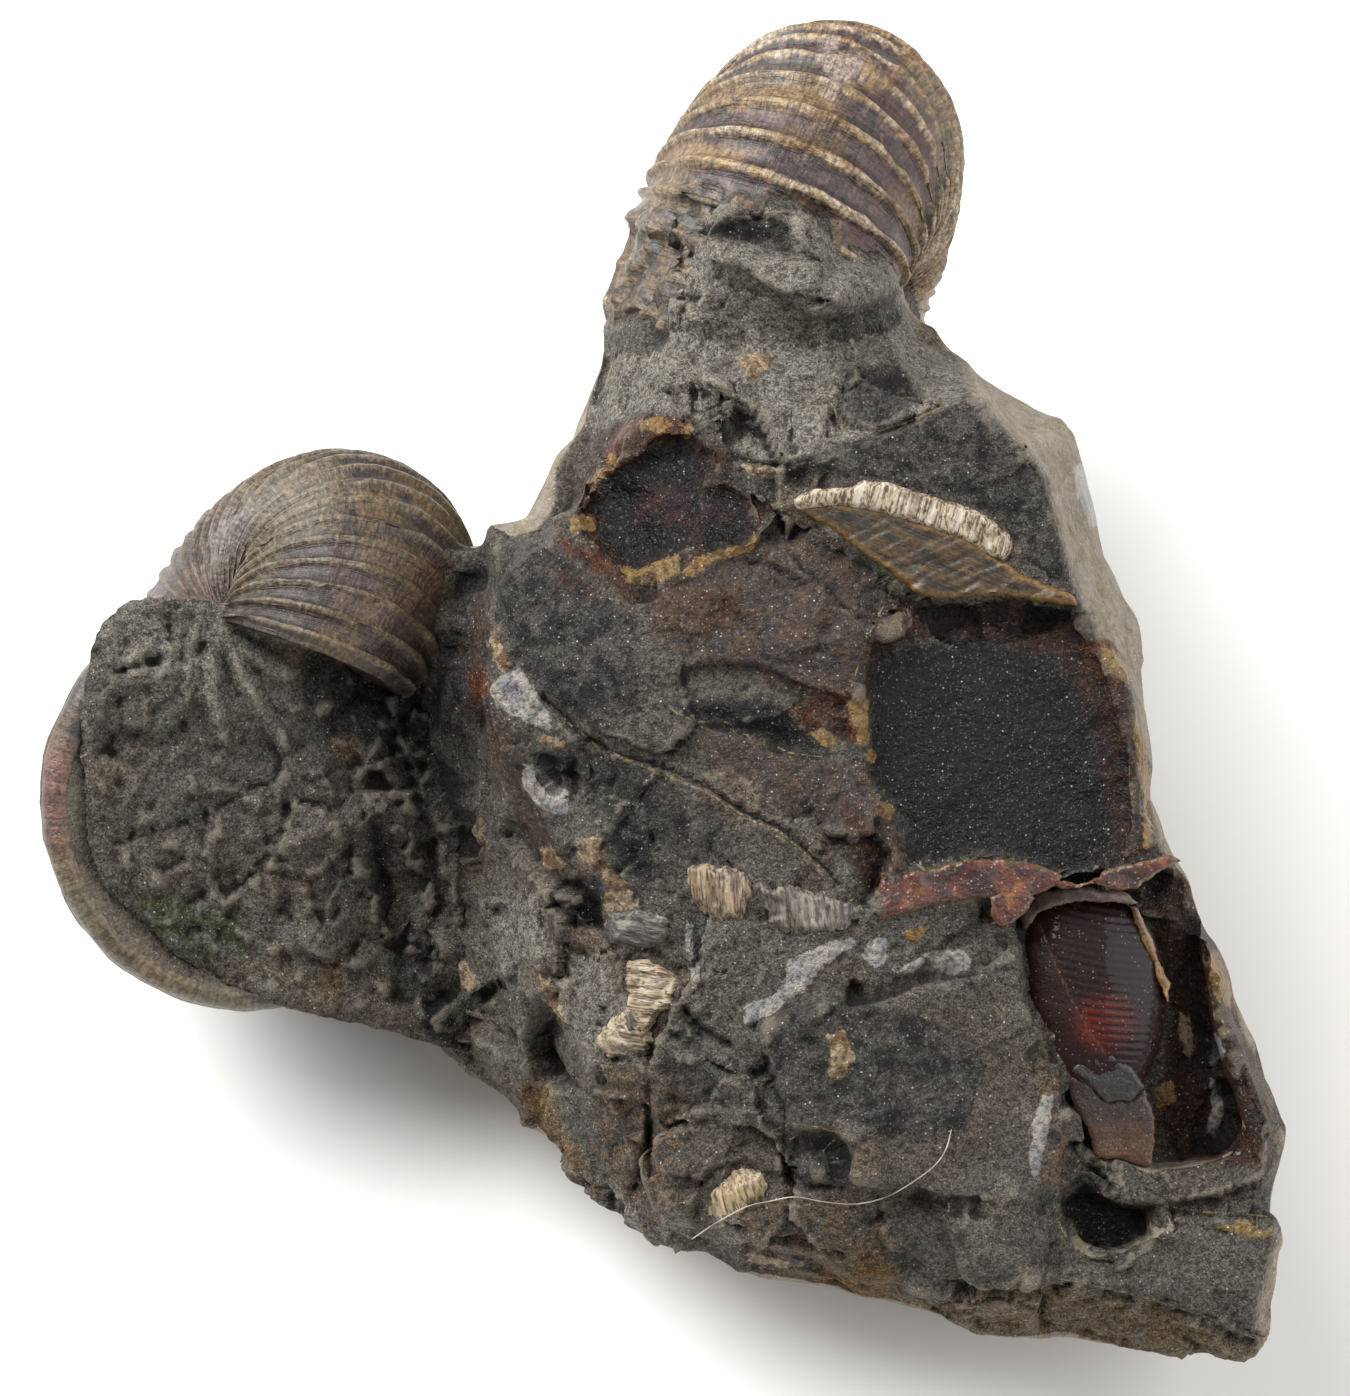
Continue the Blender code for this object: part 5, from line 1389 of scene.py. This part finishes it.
# What is painted on the limbs, as outlines in the picture
limbZones = {
    "upper": {
        "tan": [
            [(700, 84), (760, 76), (830, 84), (836, 104), (780, 110), (712, 108), (690, 104)],
            [(640, 196), (672, 176), (700, 186), (690, 206), (655, 214)],
            [(660, 150), (700, 140), (760, 150), (740, 160), (690, 166)],
            [(836, 52), (870, 60), (900, 80), (880, 90), (840, 86)],
            [(897, 258), (925, 262), (948, 300), (950, 357), (925, 350), (905, 300)],
            [(602, 240), (648, 212), (652, 236), (636, 290), (612, 330), (600, 320)],
        ],
        "purple": [
            [(740, 108), (800, 104), (860, 116), (872, 134), (820, 132), (750, 130)],
            [(700, 160), (780, 166), (840, 190), (880, 230), (850, 225), (790, 184), (700, 178)],
            [(815, 200), (850, 215), (880, 245), (860, 252), (825, 226)],
        ],
        "red": [
            [(640, 204), (682, 200), (684, 222), (660, 232), (640, 226)],
            [(864, 74), (900, 84), (930, 120), (942, 180), (925, 200), (905, 150), (880, 110)],
            [(868, 140), (900, 170), (922, 230), (905, 225), (880, 180)],
            [(820, 205), (846, 218), (874, 246), (850, 250), (826, 230)],
        ],
        "olive": [[(925, 70), (975, 120), (975, 260), (950, 330), (938, 300), (950, 200), (935, 120)],
                  [(772, 58), (815, 60), (812, 76), (775, 77)]],
        "pale": [[(832, 54), (864, 56), (864, 80), (840, 84), (830, 70)], [(820, 38), (836, 38), (836, 100),
                                                                           (826, 100)]],
        "mud": [[(585, 240), (622, 205), (660, 205), (690, 190), (700, 260), (660, 360), (590, 370)],
                [(660, 195), (690, 182), (740, 188), (800, 196), (830, 212), (850, 240), (830, 260),
                 (700, 240)]],
    },
    "left": {
        "olive": [[(240, 470), (330, 455), (345, 480), (335, 530), (290, 545), (262, 590), (236, 600),
                   (215, 560), (232, 510)],
                  [(90, 850), (104, 890), (148, 930), (211, 978), (280, 1008), (300, 1030), (60, 1000),
                   (40, 850)]],
        "purple": [[(150, 600), (164, 575), (190, 556), (222, 560), (232, 590), (220, 612), (160, 612)],
                   [(330, 540), (460, 560), (460, 640), (400, 640), (330, 600)]],
        "tan": [[(350, 488), (396, 490), (402, 522), (360, 524)], [(420, 480), (460, 520), (450, 540),
                                                                   (410, 510)]],
        "pale": [[(202, 540), (230, 508), (254, 504), (250, 540), (226, 562), (205, 562)],
                 [(224, 594), (240, 596), (238, 612), (226, 610)]],
        "red": [[(40, 740), (93, 748), (96, 850), (60, 870), (40, 800)]],
    },
}
upperTints = {
    "crest": "#ad8e5c", "crestPale": "#dac4a4", "groove": "#3d2c26", "between": "#6f5550",
    "orange": "#8f5a28", "stain": "#4a3c30", "tan": "#a98a5c", "purple": "#66505a", "red": "#62332c",
    "olive": "#6e6a54", "pale": "#c9b5a6",
}
leftTints = {
    "crest": "#7d6a4c", "crestPale": "#93836e", "groove": "#3a302a", "between": "#5c4a42",
    "orange": "#6e5034", "stain": "#453a30", "tan": "#8a7048", "purple": "#6a5150", "red": "#8f6656",
    "olive": "#85785a", "pale": "#8e8178",
}


def ribbedAragonite(name, tints):
    # Fossil shell, aragonite with a thin film of iron stain: satin, tan on the worn rib crests and dark
    # between them, with painted shade on one side of each rib, and fine growth lines.
    made, tree, shader, where = startMaterial(name, {
        "IOR": 1.6, "Metallic": 0.0, "Coat Weight": 0.15, "Coat Roughness": 0.25})
    crest, side = painted(tree, "ribCrest"), painted(tree, "ribShadowSide")
    tube = addNode(tree, "ShaderNodeCombineXYZ", {}, {
        0: painted(tree, "tubeAlong"), 1: painted(tree, "tubeOut"), 2: painted(tree, "tubeSide")}).outputs[0]
    growth = addNode(tree, "ShaderNodeVectorMath", {"operation": "MULTIPLY"}, {0: tube, 1: (6, 0.5, 0.5)})
    hatch = addNode(tree, "ShaderNodeVectorMath", {"operation": "MULTIPLY"}, {0: tube, 1: (0.8, 5, 5)})
    lines = noiseIn(tree, growth.outputs[0], 1.0, 3.0, 0.6)
    hatching = noiseIn(tree, hatch.outputs[0], 1.0, 3.0, 0.6)
    wear = noiseIn(tree, where, 0.45, 5.0, 0.65, 0.5)
    fine = noiseIn(tree, where, 4.0, 3.0, 0.7)
    broad = noiseIn(tree, where, 0.16, 3.0, 0.5)
    mottle = noiseIn(tree, where, 1.4, 4.0, 0.65, 0.3)
    uneven = sums(tree, "ADD", crest, sums(tree, "MULTIPLY_ADD", mottle, 1.1, -0.55))
    base = blend(tree, ramp(tree, mottle, 0.42, 0.6), colour(tints["groove"]), colour(tints["between"]))
    for zone, share in (("purple", 0.75), ("red", 0.8), ("olive", 0.75)):
        mask = zoneMask(tree, zone, where, 0.5, 0.9, 1.2)
        base = blend(tree, sums(tree, "MULTIPLY", mask, share), base, colour(tints[zone]))
    crestTint = blend(tree, ramp(tree, wear, 0.42, 0.6), colour(tints["crest"]), colour(tints["crestPale"]))
    crestTint = blend(tree, ramp(tree, broad, 0.52, 0.64, 0, 0.6), crestTint, colour(tints["orange"]))
    base = blend(tree, ramp(tree, uneven, 0.3, 0.8, 0, 0.9), base, crestTint)
    # painted shade on one side of each rib, below its crest
    base = blend(tree, ramp(tree, side, 0.55, 0.95, 0, 0.6), base, colour(tints["groove"]))
    tanMask = zoneMask(tree, "tan", where, 0.4, 0.7, 1.5)
    base = blend(tree, sums(tree, "MULTIPLY", tanMask, 0.75), base, colour(tints["tan"]))
    paleMask = zoneMask(tree, "pale", where, 0.3, 0.5, 1.5)
    base = blend(tree, sums(tree, "MULTIPLY", paleMask, 0.8), base, colour(tints["pale"]))
    base = blend(tree, ramp(tree, broad, 0.5, 0.6, 0, 0.45), base, colour(tints["tan"]))
    base = blend(tree, ramp(tree, wear, 0.44, 0.34, 0, 0.6), base, colour(tints["stain"]))
    mudMask = zoneMask(tree, "mud", where, 0.3, 1.0, 1.2)
    mud = blend(tree, ramp(tree, mottle, 0.42, 0.58), colour("#4c463e"), colour("#80694c"))
    base = blend(tree, sums(tree, "MULTIPLY", mudMask, 0.85), base, mud)
    base = shadeWith(tree, base, fine, 0.3, 0.7, "#5c5856", 0.8)
    base = shadeWith(tree, base, hatching, 0.35, 0.6, "#8a807a", 0.7)
    height = sums(tree, "MULTIPLY_ADD", lines, 0.8, sums(tree, "MULTIPLY", fine, 0.6))
    height = sums(tree, "MULTIPLY_ADD", hatching, 0.5, height)
    finishShader(tree, shader, base, ramp(tree, wear, 0.35, 0.7, 0.36, 0.6), height, 0.14)
    return made


def bendFrame(limb):
    front = unit(limb["front"])
    up = np.asarray(limb["up"], float)
    up = unit(up - front * (up @ front))
    return seen(*limb["middle"]), front, up, np.cross(up, front)


def bendRing(limb, angle, swell, straight=0.0):
    # the limb's cross-section at an angle round its bend, as across, up and towards the eye
    middle, front, up, side = bendFrame(limb)
    turns = fullTurn(shellSides)
    size = math.exp(limb["growth"] * angle)
    out = math.cos(angle) * front + math.sin(angle) * up
    along = -math.sin(angle) * front + math.cos(angle) * up
    shift = side * limb["slide"](angle) * mm + along * straight * mm
    away = limb["turnRadius"] * size + (limb["halfHeight"] * size + swell) * np.cos(turns)
    away = np.maximum(turnHollow, away) * mm
    wide = (limb["halfWidth"] * size + swell) * np.sin(turns) * mm
    return middle + shift + out * away[:, None] + side * wide[:, None]


def ribWave(phase):
    # a rib with a narrow crest and a wide groove, 0 in the groove and 1 on the crest
    return (0.5 + 0.5 * np.cos(2 * math.pi * (phase + 0.07 * np.sin(2 * math.pi * phase)))) ** 1.7


def loftMesh(name, rings, caps):
    # a closed skin over rings, with each end closed by rings of a share of its size moved on by mm
    ends = []
    for ring, beyond, cap in ((rings[0], rings[1], caps[0]), (rings[-1], rings[-2], caps[1])):
        middle = ring.mean(0)
        step = unit(middle - beyond.mean(0)) * mm
        ends.append([middle + (ring - middle) * share + step * forward for share, forward in cap])
    body = ends[0][::-1] + list(rings) + ends[1]
    points = np.vstack(body + [[body[0].mean(0), body[-1].mean(0)]])
    return solidFrom(laid(points), tubeFaces(len(body), len(rings[0])), name)


def finishLimb(name, mesh, phases, caps, zones, finish, replaced, seed, radius):
    # the ribs' place, the tube's own coordinates and the painted zones, then small unevenness
    full = np.concatenate((np.full(len(caps[0]), phases[0]), phases, np.full(len(caps[1]), phases[-1])))
    turns = fullTurn(shellSides)
    phase = np.append(np.repeat(full, shellSides), (phases[0], phases[-1]))
    paint(mesh, "ribCrest", ribWave(phase))
    # which side of each rib gets painted shade
    paint(mesh, "ribShadowSide", np.sin(2 * math.pi * phase))
    paint(mesh, "tubeAlong", phase * 2.1)       # about mm
    paint(mesh, "tubeOut", np.append(np.tile(np.cos(turns), len(full)), (0, 0)) * radius)
    paint(mesh, "tubeSide", np.append(np.tile(np.sin(turns), len(full)), (0, 0)) * radius)
    places, normals = meshArrays(mesh)
    inMm = places / mm
    move = 0.09 * grain(inMm, 2.2, seed, 3) + 0.03 * grain(inMm, 0.5, seed, 2)
    move -= 0.22 * ribWave(phase) * smooth(0.1, 0.5, grain(inMm, 2.6, (9, 9, seed[2])))      # worn crests
    x, y, _ = pictureOf(places)
    shown = normals @ towardsEye > 0
    mud = np.zeros(len(x))
    for outline in zones.get("mud", ()):
        mud[shown] = np.maximum(mud[shown], smooth(-6, 12, depthInside(x[shown], y[shown], outline)))
    near = np.flatnonzero(mud)
    lumps = 0.6 * chips(inMm[near], 2.6, (1.7, 2.9, 4.4)) + 0.25 * chips(inMm[near], 1.1, (6.1, 2.9, 4.4))
    move[near] += mud[near] * lumps
    places += normals * (move * mm)[:, None]
    setPlaces(mesh, places)
    for zone in ("tan", "purple", "red", "olive", "pale", "mud"):
        paint(mesh, zone, depthInAny(x, y, shown, zones.get(zone, ())) * pixelMm)
    return addPiece(name, mesh, finish, replaced)


def makeUpperWhorl():
    limb = upperLimb
    near, far = limb["straight"]
    perRib = limb["stepsPerRib"]
    ribLength = limb["ribAngle"] * (limb["turnRadius"] + limb["halfHeight"])
    stations = []
    count = round(near / ribLength * perRib)
    stations += [(0.0, near * (i / count - 1)) for i in range(count)]
    count = round(math.pi / limb["ribAngle"] * perRib)
    stations += [(math.pi * i / count, 0.0) for i in range(count + 1)]
    count = max(2, round(far / ribLength * perRib))
    stations += [(math.pi, far * i / count) for i in range(1, count + 1)]
    turns = fullTurn(shellSides)
    ventral = 0.35 + 0.65 * smooth(-0.9, 0.1, np.cos(turns))
    rings, phases = [], []
    for angle, straight in stations:
        phase = angle / limb["ribAngle"] + straight / ribLength + limb["ribStart"]
        worn = 0.25 + 0.75 * float(smooth(-4.5, 1.0, straight + 5 * angle))     # under the mud
        worn *= 1 - 0.6 * float(smooth(2.4, 3.0, angle))
        sunk = 0.9 * float(smooth(-5.2, -7.4, straight))
        swell = limb["ribHeight"] * worn * ribWave(phase) * ventral - sunk
        rings.append(bendRing(limb, angle, swell, straight))
        phases.append(phase)
    caps = [[(0.7, 0.3), (0.35, 0.5)], [(0.7, 0.3), (0.35, 0.5)]]
    mesh = loftMesh("upper_whorl_shell", rings, caps)
    finish = ribbedAragonite("ribbedAragonite", upperTints)
    finishLimb("upper_whorl_shell", mesh, np.array(phases), caps, limbZones["upper"], finish,
               ["upper_whorl"], (3, 1, 4), 7.0)


def breakRing(limb, swell, back):
    facing = unit(limb["breakFacing"])
    middle = seen(*limb["breakMiddle"]) - facing * back * mm
    down = np.asarray(limb["breakDown"], float)
    down = unit(down - facing * (down @ facing))
    across = np.cross(down, facing)
    turns = fullTurn(shellSides)
    radius = (limb["breakRadius"] + swell)[:, None] * mm
    return middle + down * radius * np.cos(turns)[:, None] - across * radius * np.sin(turns)[:, None]


def makeLeftWhorl():
    limb = leftLimb
    middle, _, up, _ = bendFrame(limb)
    count = round((limb["end"] - limb["start"]) / limb["ribAngle"] * limb["stepsPerRib"])
    turns = fullTurn(shellSides)
    ventral = 0.3 + 0.7 * smooth(-0.9, 0.2, np.cos(turns))
    rings, phases = [], []
    for i in range(count + 1):
        angle = limb["start"] + (limb["end"] - limb["start"]) * i / count
        phase = (angle - limb["start"]) / limb["ribAngle"] + limb["ribStart"]
        worn = 1 - 0.75 * float(smooth(2.7, 3.4, angle))
        swell = limb["ribHeight"] * worn * ribWave(phase) * ventral
        ring = bendRing(limb, angle, swell)
        ease = float(smooth(limb["easeFrom"], limb["end"], angle))
        if ease > 0:
            back = limb["breakRun"] * (1 - i / count) + limb["rollIn"]
            ring = ring + (breakRing(limb, swell, back) - ring) * ease
            least = turnHollow * mm * math.sin(angle - math.pi)
            below = (middle - ring) @ up
            ring = ring - up * np.maximum(0, least - below)[:, None]
        rings.append(ring)
        phases.append(phase)
    steps = np.linspace(0, math.pi / 2, 7)[1:]
    roll = [(1 - 0.1 * (1 - math.cos(a)), limb["rollIn"] * 0.8 * math.sin(a)) for a in steps]
    flatten = [(share, limb["rollIn"] * 0.7) for share in (0.8, 0.6, 0.4, 0.2)]
    caps = [[(0.8, -0.1), (0.6, -0.2), (0.4, -0.3), (0.2, -0.4)], roll + flatten]
    mesh = loftMesh("left_whorl_shell", rings, caps)
    places, _ = meshArrays(mesh)
    x, y, _ = pictureOf(places)
    order = np.arange(len(places))
    closing = order >= len(places) - 2 - len(flatten) * shellSides
    rim = order >= len(places) - 2 - (len(caps[1]) + 8) * shellSides
    closing[-2] = rim[-2] = False
    fall = np.where(closing, breakFall(x, y) + 1.9, 0)
    fall = np.where(rim & ~closing, (breakFall(x, y) + 1.2) * smooth(290, 340, x), fall)
    places -= towardsEye * (fall * mm)[:, None]
    setPlaces(mesh, places)
    finish = ribbedAragonite("weatheredAragonite", leftTints)
    finishLimb("left_whorl_shell", mesh, np.array(phases), caps, limbZones["left"], finish,
               ["left_whorl"], (3, 7, 4), 6.0)


# The rough rock that fills the left limb where it has broken off

breakRock = {
    "outline": [(77, 743), (84, 772), (88, 843), (103, 886), (148, 926), (176, 955), (211, 976), (251, 996),
                (300, 1012), (350, 1022), (400, 1034), (440, 1046), (470, 1052), (476, 1000), (468, 900),
                (462, 800), (455, 740), (440, 690), (415, 650), (390, 640), (352, 640), (328, 628),
                (312, 610), (270, 606), (235, 604), (200, 600), (156, 597), (130, 600), (103, 622), (95, 638),
                (86, 680)],
    # fan ribs: line, half width in pixels and height in mm
    "fanRibs": [
        ([(237, 608), (277, 613), (319, 621)], 13, 0.5), ([(240, 622), (277, 638), (313, 646)], 12, 0.5),
        ([(222, 630), (250, 655), (292, 677)], 14, 0.5), ([(230, 640), (256, 700), (284, 744)], 14, 0.45),
        ([(214, 640), (214, 700), (223, 737)], 14, 0.4), ([(190, 608), (172, 645), (158, 680)], 11, 0.35),
        ([(200, 615), (190, 660), (186, 700)], 9, 0.3),
    ],
    "cleft": [(374, 824), (386, 887), (392, 918)],
    "underRibs": [(335, 668), (385, 690), (440, 715)],
    "calmLine": [(235, 608), (300, 640), (270, 690), (225, 690)],       # fewer lumps near the fan ribs
    "zones": {
        "paleGrey": [[(100, 625), (130, 600), (200, 600), (225, 620), (215, 690), (150, 690), (105, 660)]],
        # painted shade in the recess under the ribs and along the cleft
        "dark": [[(311, 645), (352, 640), (415, 655), (440, 700), (452, 760), (420, 760), (380, 745),
                  (330, 740), (300, 700)],
                 [(370, 800), (392, 820), (402, 900), (430, 960), (470, 1050), (420, 1030), (380, 940),
                  (366, 860)]],
        "moss": [[(130, 896), (170, 890), (250, 915), (255, 955), (200, 968), (150, 935)],
                 [(100, 870), (125, 872), (130, 900), (108, 895)]],
        "tan": [[(335, 740), (358, 738), (362, 756), (340, 760)], [(320, 960), (345, 960), (340, 1010),
                                                                   (320, 1004)]],
        # painted shade in the cleft and the deepest hollow
        "black": [[(372, 826), (382, 826), (392, 880), (396, 918), (388, 920), (376, 870)],
                  [(410, 1000), (450, 1010), (470, 1050), (430, 1040)]],
    },
}


def breakFall(x, y):
    # how far the rock of the break falls away, in mm: to the right, in the cleft and under the ribs
    fall = 1.3 * smooth(320, 450, x) + 0.6 * smooth(22, 0, lineDistance(x, y, breakRock["cleft"]))
    return fall + 0.8 * smooth(48, 12, lineDistance(x, y, breakRock["underRibs"]))


def makeBreakRock(finish):
    limb = leftLimb
    facing = unit(limb["breakFacing"])
    middle = seen(*limb["breakMiddle"])

    def planeDepth(x, y):
        depth = np.full(len(x), float(limb["breakMiddle"][2]))
        for _ in range(3):
            spots = seen(x, y, depth)
            depth = (middle[2] - ((spots[:, :2] - middle[:2]) @ facing[:2]) / facing[2]) / mm
        return depth

    def rough(x, y, away):
        flat = np.column_stack((x, y, np.zeros(len(x)))) * pixelMm
        lumps = 0.5 * grain(flat, 4.5, (2, 1, 2)) + 0.4 * grain(flat, 2.0, (5, 1, 2), 2)
        lumps += 0.55 * chips(flat, 3.0, (9.3, 5.4, 0.7)) + 0.32 * chips(flat, 1.3, (1.1, 2.2, 0.7))
        lumps += 0.12 * grain(flat, 0.7, (8, 2, 2), 2)
        lumps *= 1 + 0.5 * smooth(300, 380, x)
        ribs = np.zeros(len(x))
        for line, wide, high in breakRock["fanRibs"]:
            ribs = np.maximum(ribs, high * smooth(wide, 0, lineDistance(x, y, line)))
        nearRibs = smooth(60, 20, lineDistance(x, y, breakRock["calmLine"]))
        return lumps * (1 - 0.6 * nearRibs) + ribs - breakFall(x, y)
    facts = {"spacing": 0.24, "wander": 2.0, "rise": 0.35, "bevel": 0.5, "dome": 0.0, "rough": 0.04,
             "roughSize": 0.5, "root": 2.8}
    mesh = flakeMesh("left_break_rock", breakRock["outline"], facts, planeDepth, 1.0, rough)
    x, y, _ = pictureOf(meshArrays(mesh)[0])
    paintFrom(mesh, x, y, np.ones(len(x), bool), breakRock["zones"])
    edge = lineDistance(x, y, breakRock["outline"], True) * pixelMm
    paintFacets(mesh, smooth(0.3, 1.1, edge))
    fan = np.full(len(x), -outlineReach)
    for line, wide, _ in breakRock["fanRibs"]:
        fan = np.maximum(fan, wide * 0.55 - lineDistance(x, y, line))
    paint(mesh, "fanRib", fan * pixelMm)
    addPiece("left_break_rock", mesh, finish)


# The stray pale fibre on the lower rock

strayFibre = {
    "line": [(692, 1239), (716, 1223), (746, 1207), (771, 1201), (795, 1197), (825, 1202), (856, 1204),
             (886, 1197), (913, 1182), (935, 1165), (946, 1149), (952, 1127)],
    "radius": 0.03,     # mm
    "sides": 6, "steps": 8,
}


def makeStrayFibre(surface):
    # Plant or textile fibre: nearly white, slightly shiny
    facts = strayFibre
    line = np.array(facts["line"], float)
    padded = np.vstack((2 * line[0] - line[1], line, 2 * line[-1] - line[-2]))
    path = []
    for a, b, c, d in zip(padded, padded[1:], padded[2:], padded[3:]):
        for t in np.arange(facts["steps"]) / facts["steps"]:
            path.append(0.5 * (2 * b + (c - a) * t + (2 * a - 5 * b + 4 * c - d) * t ** 2
                               + (3 * b - a - 3 * c + d) * t ** 3))
    path = np.array(path)
    depth = surface(path[:, 0], path[:, 1])
    over = np.array([depth[max(0, i - 6):i + 7].max() for i in range(len(depth))])
    over = np.convolve(np.pad(over, 6, "edge"), np.ones(13) / 13, "valid")
    over = np.maximum(over, depth) + 0.06
    spots = seen(path[:, 0], path[:, 1], over)
    along = np.gradient(spots, axis=0)
    along /= np.linalg.norm(along, axis=1)[:, None]
    side = np.cross(along, (0, 0, 1))
    side /= np.linalg.norm(side, axis=1)[:, None]
    up = np.cross(side, along)
    turns = fullTurn(facts["sides"])
    rings = [s + facts["radius"] * mm * (np.cos(turns)[:, None] * a + np.sin(turns)[:, None] * b)
             for s, a, b in zip(spots, side, up)]
    mesh = loftMesh("stray_fibre", rings, [[(0.6, 0.02)], [(0.6, 0.02)]])
    made, tree, shader, where = startMaterial("paleFibre", {"Roughness": 0.45, "IOR": 1.5})
    tint = blend(tree, ramp(tree, noiseIn(tree, where, 0.8), 0.4, 0.6), colour("#8f887a"), colour("#bdb6a6"))
    tree.links.new(tint, shader.inputs["Base Color"])
    addPiece("stray_fibre", mesh, made)


# The studio

studio = {
    "floor": "#f4f3f1", "world": "#ffffff", "worldStrength": 0.34,
    "key": ((-0.24, 0.17, 0.32), 0.32, 3.3),        # place in m, size in m, power in W
    "fill": ((0.36, -0.04, 0.28), 0.5, 1.8),
}


def makeStudio():
    bpy.ops.mesh.primitive_plane_add(size=3, location=(0, 0, -0.0001))
    floor = bpy.context.object
    floor.name = "floor"
    paper = startMaterial("palePaper", {"Base Color": colour(studio["floor"]), "Roughness": 0.95})[0]
    floor.data.materials.append(paper)
    for name in ("key", "fill"):
        spot, size, power = studio[name]
        light = bpy.data.lights.new(name, "AREA")
        light.size = size
        light.energy = power
        lamp = bpy.data.objects.new(name, light)
        lamp.location = spot
        lamp.rotation_euler = (Vector((0, 0, 0.015)) - Vector(spot)).to_track_quat("-Z", "Y").to_euler()
        bpy.context.scene.collection.objects.link(lamp)
    world = bpy.data.worlds.new("softStudio")
    world.use_nodes = True
    world.node_tree.nodes["Background"].inputs["Color"].default_value = colour(studio["world"])
    world.node_tree.nodes["Background"].inputs["Strength"].default_value = studio["worldStrength"]
    bpy.context.scene.world = world
    bpy.context.scene.view_settings.view_transform = "Standard"

    lens = bpy.data.cameras.new("photoView")
    lens.sensor_fit = "AUTO"
    lens.sensor_width = 36
    lens.lens = lens.sensor_width * view["eyeDistance"] / (view["frame"][1] * view["pixel"])
    lens.clip_start = 0.01
    eye = bpy.data.objects.new("photoView", lens)
    target = Vector((0, 0, view["faceHeight"]))
    eye.location = target + Vector(towardsEye) * view["eyeDistance"]
    eye.rotation_euler = (target - eye.location).to_track_quat("-Z", "Y").to_euler()
    bpy.context.scene.collection.objects.link(eye)
    bpy.context.scene.camera = eye


makeStudio()
print("studio ready")
mudstone = brokenMudstone()
rockMesh = makeRock()
addPiece("rock_surface", rockMesh, mudstone, ["rock_matrix"])
onTheRock = surfaceOf(rockMesh)
makeUpperWhorl()
makeLeftWhorl()
makeBreakRock(mudstone)
print("limbs ready")
makeShellWall()
makeLedge()
makeSmallShell()
makeFlakes(onTheRock)
makeStrayFibre(onTheRock)
print("flakes and fibre ready")
